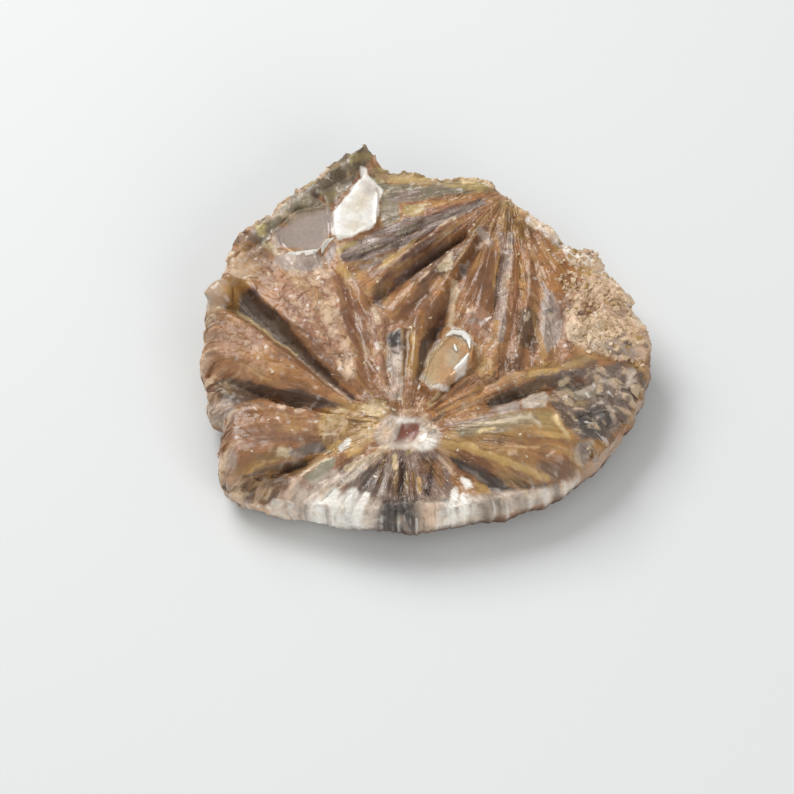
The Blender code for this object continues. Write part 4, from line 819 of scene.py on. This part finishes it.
# How much lighter or darker the ground of a plate is than it is seen, since its face dims and reflects
PLATE_SHADE = {"clear_plate": 1.8, "bright_plate": 0.80, "clear_flake": 2.4}


def dress_surface(mesh):
    """Raises laths, steps and grains on the fine mesh, and gives each point its colour and gloss."""
    fine = Fine(mesh)
    x, y, z = fine.places.T
    angle, reach, far = rays(x, y)
    upper = smooth_step(0.0, 0.5, fine.average(fine.normals[:, 2].copy(), 6))
    colour, grainy, relief = painted(*seen_at(fine.places))
    near = smooth_step(-15.0, -18.0, y) * smooth_step(0.9, 0.4, upper)
    front = smooth_step(-15.5, -17.5, y) * smooth_step(-15.0, -12.5, x)
    rim = smooth_step(1.9, 0.6, inset(x, y) + 0.5 * layered_noise(x / 1.2, y / 1.2, 91, 2)) * (1 - 0.9 * front)
    dark_side = smooth_step(14.0, 19.0, x) * smooth_step(2.0, -4.0, y)
    grainy = fine.average(np.maximum(grainy, 0.75 * rim * (1 - 0.5 * dark_side)), 3)
    relief = fine.average(relief, 3)
    rough = 0.25 + 0.75 * np.clip(relief / 0.3, 0, 1)
    hollow = np.clip((z - fine.average(z.copy(), 60)) / 0.4, -1.5, 1.5)

    turn_noise = layered_noise(x / 3.0, y / 3.0, 61)
    bent = angle + turn_noise * 1.4
    close = smooth_step(1.0, 4.0, reach)
    wall_reach = reach + np.maximum(6.0 - z, 0) * (1 - upper)
    fall = np.minimum(z - 8.0, 0) / np.maximum(np.hypot(x, y), 14.0)
    across, skew = x + x * fall, y + y * fall

    # Relief: blocks, laths and thin ridges along the rays, then grains and the broken rim
    broad, bu, bv = crystal_cells(bent / 6.0, wall_reach / 4.5, 101, 60)
    lath, lu, lv = crystal_cells(bent / 2.4, wall_reach / 4.6, 201, 150)
    thin, tu, _ = crystal_cells(bent / 0.9, wall_reach / 2.6, 301, 400)
    ridge = value_noise(bent / 0.45, wall_reach / 5.0, 401)
    clump, cu, cv = crystal_cells(across / 0.8 + turn_noise, skew / 0.8, 501)
    speck, su, sv = crystal_cells(across / 0.32, skew / 0.32, 601)
    sugar = layered_noise(across / 0.35, skew / 0.35, 76, 2)

    lift = (broad[0] - 0.5) * 0.14 + bu * (broad[1] - 0.5) * 0.22 + bv * (broad[2] - 0.5) * 0.14
    lift *= 0.35 + 0.65 * relief
    laths = (lath[0] - 0.5) * 0.16 + lu * (lath[1] - 0.5) * 0.24 + lv * (lath[2] - 0.5) * 0.12
    laths += (thin[0] - 0.5) * 0.07 + tu * (thin[1] - 0.5) * 0.10 + ridge * 0.02
    lift += laths * (0.2 + 0.8 * relief) * (1 - 0.6 * grainy)
    lift *= close * rough
    grains = (clump[0] - 0.35) * 0.34 + (cu * (clump[1] - 0.5) + cv * (clump[2] - 0.5)) * 0.4
    grains += (speck[0] - 0.4) * 0.11 + (su * (speck[1] - 0.5) + sv * (speck[2] - 0.5)) * 0.14
    lift += grains * grainy * 0.8
    lump, mu, mv = crystal_cells(across / 1.3, skew / 1.3, 551)
    lift += rim * ((lump[0] - 0.55) * 0.45 + mu * (lump[1] - 0.5) * 0.4 + mv * (lump[2] - 0.5) * 0.4)
    lift += near * (value_noise(bent / 1.1, z / 7.0, 811) * 0.22 + value_noise(bent / 2.6, z / 9.0, 821) * 0.2)
    lift += (layered_noise(x / 1.1, y / 1.1, 71, 2) * 0.05 + sugar * (0.025 + 0.04 * grainy)) * rough
    lift *= (0.5 + 0.5 * upper) * smooth_step(0.0, 0.5, z)

    # Colour: streaks along the rays, mottles, frosted grains, painted shade in the hollows, painted highlight on
    # the crests and painted glints
    streak = value_noise(bent / 1.6, wall_reach / 7.0, 701) * 0.5
    streak += value_noise(bent / 0.6, wall_reach / 5.0, 711) * 0.3
    cloud = layered_noise(across / 2.6, skew / 2.6, 721)
    mottle = layered_noise(across / 1.0, skew / 1.0, 731, 3)
    shade = 0.30 * streak * close * relief + 0.12 * cloud + 0.26 * mottle + 0.16 * sugar
    shade += 0.12 * (broad[0] - 0.5) + 0.12 * (clump[1] - 0.5) + 0.14 * (thin[0] - 0.5) * relief
    shade = 1 + shade * rough
    # Painted shade: darker in the hollows and a little lighter on the crests
    shade *= 1 + np.where(hollow > 0, 0.12, 0.50) * hollow * rough
    warmth = smooth_step(1.7, 3.2, colour[:, 0] / (colour[:, 2] + 0.004)) * rough * upper
    colour = mixed(colour, linear("pink"), 0.55 * rim * (1 - dark_side) * smooth_step(0.35, 0.7, lump[1]))
    colour = mixed(colour, linear("umber"), 0.6 * rim * smooth_step(0.25 + 0.4 * dark_side, 0.1, lump[1]))
    burnt = smooth_step(0.05, 0.5, layered_noise(across / 1.5 + 7.0, skew / 1.5, 741))
    colour = mixed(colour, linear("burnt"), 0.40 * burnt * warmth * (1 - 0.6 * grainy))
    vein = 0.4 * cloud + value_noise(bent / 3.4, wall_reach / 6.0, 761) * 0.6
    vein += value_noise(bent / 1.3, wall_reach / 3.0, 771) * 0.4
    colour = mixed(colour, linear("yellow"), 0.40 * warmth * smooth_step(0.05, 0.6, vein))
    colour = mixed(colour, linear("brown"), 0.55 * warmth * smooth_step(-0.1, -0.7, vein))
    colour *= np.clip(shade, 0.15, 1.6)[:, None]
    blobs = layered_noise(across / 0.85, skew / 0.85, 751, 3) + 0.3 * (speck[0] - 0.5) + 0.3 * (clump[0] - 0.5)
    frost_and_crest_highlight = smooth_step(0.10, 0.45, blobs + 0.55 * grainy - 0.30) * (0.12 + 0.68 * grainy) * rough
    # Crests lighter: partly frost, partly a painted highlight
    frost_and_crest_highlight += 0.22 * smooth_step(0.35, 0.9, hollow) * rough
    colour = mixed(colour, linear("frost_and_crest_highlight"), np.clip(frost_and_crest_highlight, 0, 0.75))
    loose = np.clip(0.25 + grainy, 0, 1) * rough
    # Painted glints: white specks standing for highlights
    glint = smooth_step(0.97, 0.99, speck[1]) * loose
    colour = mixed(colour, linear("white"), 0.65 * glint)
    dark = smooth_step(0.955, 0.98, speck[2]) * loose * smooth_step(0.3, -0.2, cloud)
    colour = mixed(colour, linear("umber"), 0.6 * dark)
    patchy = layered_noise(across / 2.8, skew / 2.8, 831)
    colour, wall, below = wall_colour(colour, fine.places, bent, upper, near, patchy, cloud, streak)
    gloss = 0.36 + 0.26 * grainy + 0.16 * (broad[1] - 0.5) - 0.22 * glint + 0.15 * wall + 0.2 * below
    gloss -= 0.10 * (1 - rough)
    knob = smooth_step(2.9, 2.2, np.linalg.norm(fine.places - np.array(KNOB), axis=1))
    glassy = linear("honey") * (1.05 + 0.5 * mottle)[:, None]
    glassy = mixed(glassy, linear("pearl"), smooth_step(-0.1, 0.5, cloud) * 0.7)
    colour = mixed(colour, glassy, 0.9 * knob)
    gloss += knob * (0.12 - gloss)
    lift *= 1 - 0.85 * knob
    lift *= smooth_step(0.0, -0.5, depth_inside(x, y, PIT_MOUTH))

    moved = fine.places + fine.normals * lift[:, None]
    resting = z < RESTING_HEIGHT
    moved[resting, 2] = z[resting]
    moved[:, 2] = np.maximum(moved[:, 2], 0.0)
    lay_plates(x, y, upper, mottle, moved, colour, gloss)
    return moved, np.clip(colour, 0.004, BRIGHTEST), np.clip(gloss, 0.08, 0.9), far


def wall_colour(colour, places, bent, upper, near, patchy, cloud, streak):
    """Stripes down the near wall, patches on the others, darker maroon low on the sides at the right, and the
    underside.
    """
    x, y, z = places.T
    wall = smooth_step(0.45, 0.15, upper) * smooth_step(7.2, 5.8, z)
    stripes = value_noise(bent / 2.2, z / 9.0, 801) * 0.5 + value_noise(bent / 1.1, z / 7.0, 811) * 0.5
    colour = mixed(colour, linear("white"), 0.45 * near * smooth_step(0.1, 0.5, stripes))
    colour = mixed(colour, linear("grey"), 0.6 * near * smooth_step(-0.15, -0.6, stripes))
    colour = mixed(colour, linear("umber"), 0.55 * smooth_step(-0.1, 0.5, patchy) * wall * (1 - near))
    colour = mixed(colour, linear("pearl"), 0.55 * smooth_step(0.0, -0.5, patchy) * wall * (1 - near))
    # Darker maroon low on the sides at the right
    crust = smooth_step(3.6, 2.0, z) * smooth_step(0.0, 8.0, x - y * 0.6) * smooth_step(0.5, 0.2, upper)
    below = smooth_step(2.0, 0.6, z) * (1 - upper)
    under = linear("mauve") * (1 + 0.35 * cloud + 0.3 * streak)[:, None]
    under = mixed(under, linear("rosy"), smooth_step(0.1, 0.6, stripes) * 0.6)
    colour = mixed(colour, under, below * 0.8)
    return mixed(colour, linear("maroon") * 0.6, crust * 0.85), wall, below


def lay_plates(x, y, upper, mottle, moved, colour, gloss):
    """Levels the ground of each plate, sunk where one sees into it, and gives it its shade and gloss."""
    for name, plate in PLATES.items():
        depth = depth_inside(x, y, plate.corners)
        face = smooth_step(0.0, 0.25, depth + 0.15 * mottle) * upper
        sunk = face_height(plate, x, y) - plate.depth * smooth_step(0.2, 0.5, depth)
        moved[:, 2] += face * (sunk + 0.03 * mottle - moved[:, 2])
        colour *= (1 - face * (1 - PLATE_SHADE[name]))[:, None]
        colour /= np.maximum(colour.max(axis=1) / BRIGHTEST, 1)[:, None]
        gloss += face * ((0.4 if plate.depth else 0.2) - gloss)


def write_attributes(mesh, colour, gloss):
    """Gives the mesh its colours and its gloss, which the material reads."""
    tint = mesh.color_attributes.new("tint", "FLOAT_COLOR", "POINT")
    values = np.ones((len(colour), 4))
    values[:, :3] = colour
    tint.data.foreach_set("color", values.ravel())
    rough = mesh.attributes.new("rough", "FLOAT", "POINT")
    rough.data.foreach_set("value", gloss)


def limited(obj, most):
    """Leaves the object's mesh at most so many triangles."""
    triangles = sum(len(face.vertices) - 2 for face in obj.data.polygons)
    if triangles > most:
        fewer = obj.modifiers.new("fewer_faces", "DECIMATE")
        fewer.ratio = most / triangles


def faces_only(mesh, name, keep):
    """A copy of the mesh with only the faces that are asked for."""
    part = mesh.copy()
    part.name = name
    bm = bmesh.new()
    bm.from_mesh(part)
    bmesh.ops.delete(bm, geom=[face for face, kept in zip(bm.faces, keep) if not kept], context="FACES")
    bm.to_mesh(part)
    bm.free()
    return part


# Materials
GYPSUM_IOR = 1.52


def node_tree(name):
    material = bpy.data.materials.new(name)
    material.use_nodes = True
    tree = material.node_tree
    return material, tree, tree.nodes["Principled BSDF"]


def add_node(tree, kind, inputs=None, **settings):
    node = tree.nodes.new(kind)
    for key, value in settings.items():
        setattr(node, key, value)
    for key, value in (inputs or {}).items():
        node.inputs[key].default_value = value
    return node


def gypsum_material():
    """Crystal coloured by its points, finely mottled, with a slight inner glow and a clear coat."""
    material, tree, shader = node_tree("radiating_gypsum")
    tint = add_node(tree, "ShaderNodeVertexColor", layer_name="tint")
    rough = add_node(tree, "ShaderNodeAttribute", attribute_name="rough")
    place = add_node(tree, "ShaderNodeTexCoord")
    fine = add_node(tree, "ShaderNodeTexNoise", {"Scale": 9000.0, "Detail": 3.0, "Roughness": 0.6})
    mottle = add_node(tree, "ShaderNodeTexNoise", {"Scale": 2600.0, "Detail": 4.0, "Roughness": 0.7})
    tree.links.new(place.outputs["Object"], fine.inputs["Vector"])
    tree.links.new(place.outputs["Object"], mottle.inputs["Vector"])
    vary = add_node(tree, "ShaderNodeMapRange", {"From Min": 0.3, "From Max": 0.7, "To Min": 0.87, "To Max": 1.13})
    tree.links.new(mottle.outputs["Fac"], vary.inputs["Value"])
    scaled = add_node(tree, "ShaderNodeVectorMath", operation="SCALE")
    tree.links.new(tint.outputs["Color"], scaled.inputs[0])
    tree.links.new(vary.outputs["Result"], scaled.inputs["Scale"])
    tree.links.new(scaled.outputs["Vector"], shader.inputs["Base Color"])
    tree.links.new(rough.outputs["Fac"], shader.inputs["Roughness"])
    raised = add_node(tree, "ShaderNodeBump", {"Strength": 0.3, "Distance": 0.05 * MM})
    tree.links.new(fine.outputs["Fac"], raised.inputs["Height"])
    tree.links.new(raised.outputs["Normal"], shader.inputs["Normal"])
    shader.inputs["IOR"].default_value = GYPSUM_IOR
    shader.inputs["Subsurface Weight"].default_value = 0.15
    shader.inputs["Subsurface Radius"].default_value = (0.8, 0.6, 0.45)
    shader.inputs["Subsurface Scale"].default_value = 0.5 * MM
    shader.inputs["Coat Weight"].default_value = 0.10
    shader.inputs["Coat Roughness"].default_value = 0.2
    return material


def clear_material(name, colour, roughness, transmission):
    """Clear or milky crystal, which dims what is seen through it by its own colour."""
    material, tree, shader = node_tree(name)
    shader.inputs["Base Color"].default_value = (*linear(colour), 1.0)
    shader.inputs["Roughness"].default_value = roughness
    shader.inputs["IOR"].default_value = GYPSUM_IOR
    shader.inputs["Transmission Weight"].default_value = transmission
    return material


def keep_as_piece(obj):
    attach(obj, "root")
    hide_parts(NODE)


# The crystals
def build_crystals():
    """The fine surface as three pieces: the blades of each centre, and the wall with the underside."""
    mesh = fine_solid()
    moved, colour, gloss, far = dress_surface(mesh)
    mesh.vertices.foreach_set("co", (moved * MM).ravel())
    write_attributes(mesh, colour, gloss)
    side = mesh.attributes.new("side", "FLOAT", "POINT")
    side.data.foreach_set("value", np.where(moved[:, 2] < UPPER_HEIGHT, 2.0, far.astype(float)))
    mesh.update()
    obj = new_object("gypsum", mesh)
    limited(obj, MOST_TRIANGLES)
    mesh = applied(obj)
    mesh.shade_smooth()
    mesh.set_sharp_from_angle(angle=SHARP_ANGLE)
    tree = BVHTree.FromPolygons([v.co / MM for v in mesh.vertices], [tuple(f.vertices) for f in mesh.polygons])
    sides = np.empty(len(mesh.vertices))
    mesh.attributes["side"].data.foreach_get("value", sides)
    faces = np.array([sides[face.vertices[0]] for face in mesh.polygons])
    mesh.attributes.remove(mesh.attributes["side"])
    material = gypsum_material()
    picks = {
        "main_blades": faces < 0.5,
        "far_blades": (faces >= 0.5) & (faces < 1.5),
        "wall_and_underside": faces >= 1.5,
    }
    for name, keep in picks.items():
        obj = new_object(name, faces_only(mesh, name, keep), material)
        limited(obj, MOST_IN_A_PIECE)
        if obj.modifiers:
            obj = new_object(name, applied(obj), material)
            obj.data.shade_smooth()
            obj.data.set_sharp_from_angle(angle=SHARP_ANGLE)
        obj.name = name
        keep_as_piece(obj)
    return tree


def on_surface(tree, x, y):
    """The place and normal of the surface seen from above at this spot, or nothing off the specimen."""
    hit, normal, _, _ = tree.ray_cast(Vector((x, y, 30)), Vector((0, 0, -1)))
    return hit, normal


# Clear plates, slivers, grains and flakes
def add_slab(bm, corners, height_at, top, bottom, bevel, uneven):
    """A plate with slightly sloping edges, its face broken into facets where it is uneven."""
    draw = random.Random(9)
    middle = Vector((sum(c[0] for c in corners) / len(corners), sum(c[1] for c in corners) / len(corners)))
    loops = []
    for level, grow in ((top, 1 - bevel), (top - 0.05, 1.0), (bottom, 1 - bevel * 0.6)):
        loop = []
        for corner in corners:
            at = middle + (Vector(corner) - middle) * grow
            height = height_at(at.x, at.y) + level
            if level == top:
                height += draw.uniform(-uneven, uneven)
            loop.append(bm.verts.new(Vector((at.x, at.y, height)) * MM))
        loops.append(loop)
    face = bm.faces.new(loops[0][::-1])
    if uneven:
        bmesh.ops.triangulate(bm, faces=[face], quad_method="BEAUTY", ngon_method="BEAUTY")
    bm.faces.new(loops[-1])
    for upper, lower in zip(loops, loops[1:]):
        for k in range(len(corners)):
            m = (k + 1) % len(corners)
            bm.faces.new((upper[k], upper[m], lower[m], lower[k]))


def jagged(corners, between=5, size=0.24):
    """The corners with small steps along each side."""
    draw = random.Random(5)
    points = []
    for (x0, y0), (x1, y1) in zip(corners, corners[1:] + corners[:1]):
        length = math.hypot(x1 - x0, y1 - y0)
        for k in range(between):
            t = (k + (draw.uniform(-0.3, 0.3) if k else 0)) / between
            out = draw.uniform(-size, size * 0.4)
            across = ((y0 - y1) / length * out, (x1 - x0) / length * out)
            points.append((x0 + (x1 - x0) * t + across[0], y0 + (y1 - y0) * t + across[1]))
    return points


def mesh_from(bm, name, material):
    """A visible piece made of the faces collected so far."""
    bmesh.ops.recalc_face_normals(bm, faces=bm.faces)
    mesh = bpy.data.meshes.new(name)
    bm.to_mesh(mesh)
    bm.free()
    obj = new_object(name, mesh, material)
    keep_as_piece(obj)


def build_plates():
    """The clear window and the clear flake, each a thin slab over its sunken ground."""
    window = clear_material("clear_gypsum", (246, 243, 240), 0.06, 1.0)
    pearly_and_highlight = clear_material("pearly_gypsum", (252, 245, 232), 0.04, 1.0)
    for name, glass, uneven in (("clear_plate", window, 0.0), ("clear_flake", pearly_and_highlight, 0.09)):
        plate = PLATES[name]
        bm = bmesh.new()
        add_slab(bm, jagged(plate.corners), lambda x, y: face_height(plate, x, y), 0.04, -0.22, 0.02, uneven)
        mesh_from(bm, name, glass)


def clear_height(x, y):
    """The height of the clear plate that lies over this place, or zero where there is none."""
    for plate in PLATES.values():
        if plate.depth and depth_inside([x], [y], plate.corners)[0] > 0:
            return face_height(plate, x, y)
    return 0.0


def build_slivers(tree):
    """Painted highlights on the edges of clear crystal: white slivers, lens-shaped in plan."""
    bm = bmesh.new()
    for sliver in SLIVERS:
        path = [Vector(point) for point in sliver.points]
        dense = [path[0]]
        for a, b in zip(path, path[1:]):
            dense += [a.lerp(b, (k + 1) / 4) for k in range(4)]
        rings = []
        for k, at in enumerate(dense):
            ahead = dense[min(k + 1, len(dense) - 1)] - dense[max(k - 1, 0)]
            across = Vector((-ahead.y, ahead.x)).normalized()
            width = sliver.half_width * (math.sin(math.pi * (k + 0.35) / (len(dense) - 0.3)) ** 0.6)
            clear = clear_height(at.x, at.y)
            ring = []
            for side, lift in ((-1, 0.0), (-0.5, 0.10), (0.35, 0.13), (1, 0.0), (0, -0.25)):
                place = at + across * side * width
                hit, _ = on_surface(tree, place.x, place.y)
                height = clear or (hit.z if hit else 6.0)
                ring.append(bm.verts.new(Vector((place.x, place.y, height + lift)) * MM))
            rings.append(ring)
        for a, b in zip(rings, rings[1:]):
            for k in range(5):
                m = (k + 1) % 5
                bm.faces.new((a[k], a[m], b[m], b[k]))
        bm.faces.new(rings[0])
        bm.faces.new(rings[-1][::-1])
    # White material for the painted highlights
    pearly_and_highlight = clear_material("painted_highlight_edges", (244, 240, 230), 0.25, 0.2)
    mesh_from(bm, "painted_highlight_slivers", pearly_and_highlight)


def add_block(bm, place, axes, sizes, draw):
    """A small crystal with uneven corners."""
    turn = Matrix(axes).transposed()
    corners = []
    for sx in (-1, 1):
        for sy in (-1, 1):
            for sz in (-1, 1):
                offset = Vector([s * size * draw.uniform(0.45, 1.1) for s, size in zip((sx, sy, sz), sizes)])
                corners.append(bm.verts.new((place + turn @ offset) * MM))
    for face in ((0, 1, 3, 2), (4, 6, 7, 5), (0, 4, 5, 1), (2, 3, 7, 6), (0, 2, 6, 4), (1, 5, 7, 3)):
        bm.faces.new([corners[k] for k in face])


def random_axes(normal, draw, tilt):
    """Three directions at right angles, the third near the normal."""
    up = (normal + Vector([draw.uniform(-tilt, tilt) for _ in range(3)])).normalized()
    along = Vector([draw.uniform(-1, 1) for _ in range(3)]).cross(up).normalized()
    return along, up.cross(along), up


def build_grains(tree):
    """Sugary crystals along the right and far rim."""
    draw = random.Random(23)
    groups = {"pale_grains": ("frost_and_crest_highlight", bmesh.new()), "tan_grains": ("yellow", bmesh.new())}
    count = 0
    while count < 420:
        x, y = draw.uniform(12, 24), draw.uniform(-3.5, 16)
        edge = math.hypot(x - 19.4 + (y - 2) * 0.22, (y - 2.5) * 0.36)
        if edge > 3.6 + draw.uniform(-1, 1):
            continue
        hit, normal = on_surface(tree, x, y)
        count += 1
        if hit is None or normal.z < 0.2:
            continue
        size = draw.uniform(0.08, 0.26) * draw.uniform(0.7, 1.3)
        name = "tan_grains" if draw.random() < 0.12 else "pale_grains"
        axes = random_axes(normal, draw, 0.9)
        sizes = (size * draw.uniform(0.8, 1.5), size, size * draw.uniform(0.6, 1.0))
        add_block(groups[name][1], hit, axes, sizes, draw)
    for name, (colour, bm) in groups.items():
        material = clear_material(name, colour, 0.4, 0.15)
        mesh_from(bm, name, material)


def build_flakes(tree):
    """Thin cleavage flakes that glint on the blades."""
    draw = random.Random(31)
    bm = bmesh.new()
    count = 0
    while count < 90:
        x, y = draw.uniform(-23, 22), draw.uniform(-22, 20)
        hit, normal = on_surface(tree, x, y)
        if hit is None or normal.z < 0.35:
            continue
        if any(depth_inside(x, y, plate.corners) > -0.4 for plate in PLATES.values()):
            continue
        count += 1
        size = draw.uniform(0.06, 0.16)
        axes = random_axes(normal, draw, 0.35)
        add_block(bm, hit + normal * 0.01, axes, (size * draw.uniform(1, 2.2), size, 0.03), draw)
    material = clear_material("glinting_flakes", "cream", 0.2, 0.1)
    mesh_from(bm, "cleavage_flakes", material)


# View and light
CAMERA_DISTANCE = 1.2
PIXELS = 794
PIXELS_PER_MM = 9.2
FOCUS_PIXEL = (405, 432)
SENSOR_WIDTH = 36.0
LIGHT_SIZE = 0.30


def set_camera():
    """The photograph's view: the main centre falls on its pixel, at the photograph's scale."""
    back = Vector((0, -math.cos(VIEW_ELEVATION), math.sin(VIEW_ELEVATION)))
    up = Vector((0, math.sin(VIEW_ELEVATION), math.cos(VIEW_ELEVATION)))
    focus = Vector((*MAIN_FOCUS, FOCUS_HEIGHT)) * MM
    aim = focus + Vector((1, 0, 0)) * (PIXELS / 2 - FOCUS_PIXEL[0]) / PIXELS_PER_MM * MM
    aim += up * (FOCUS_PIXEL[1] - PIXELS / 2) / PIXELS_PER_MM * MM
    camera = bpy.data.cameras.new("camera")
    camera.sensor_width = SENSOR_WIDTH
    camera.lens = SENSOR_WIDTH * CAMERA_DISTANCE / (PIXELS / PIXELS_PER_MM * MM)
    camera.clip_start = 0.01
    obj = bpy.data.objects.new("camera", camera)
    obj.location = aim + back * CAMERA_DISTANCE
    obj.rotation_euler = (-back).to_track_quat("-Z", "Y").to_euler()
    bpy.context.scene.collection.objects.link(obj)
    bpy.context.scene.camera = obj


def area_light(name, place, power, colour=(1, 1, 1)):
    light = bpy.data.lights.new(name, "AREA")
    light.shape = "SQUARE"
    light.size = LIGHT_SIZE
    light.energy = power
    light.color = colour
    obj = bpy.data.objects.new(name, light)
    obj.location = place
    obj.rotation_euler = (-Vector(place)).to_track_quat("-Z", "Y").to_euler()
    bpy.context.scene.collection.objects.link(obj)


def set_stage():
    """A plain pale floor, a soft sky, a window-like light from the far left and a weak one from the front."""
    bm = bmesh.new()
    bmesh.ops.create_grid(bm, x_segments=1, y_segments=1, size=3.0)
    mesh = bpy.data.meshes.new("floor")
    bm.to_mesh(mesh)
    bm.free()
    material, _, shader = node_tree("floor")
    shader.inputs["Base Color"].default_value = (0.72, 0.735, 0.73, 1)
    shader.inputs["Roughness"].default_value = 0.9
    shader.inputs["Specular IOR Level"].default_value = 0.1
    new_object("floor", mesh, material)
    world = bpy.data.worlds.new("studio")
    world.use_nodes = True
    sky = world.node_tree.nodes["Background"]
    sky.inputs["Color"].default_value = (0.96, 0.98, 1.0, 1)
    sky.inputs["Strength"].default_value = 0.44
    bpy.context.scene.world = world
    bpy.context.scene.view_settings.view_transform = "Standard"
    area_light("window", (-0.22, 0.26, 0.36), 2.1)
    area_light("fill", (0.20, -0.38, 0.26), 0.9, (1.0, 0.98, 0.95))


set_camera()
set_stage()
surface = build_crystals()
build_plates()
build_slivers(surface)
build_grains(surface)
build_flakes(surface)
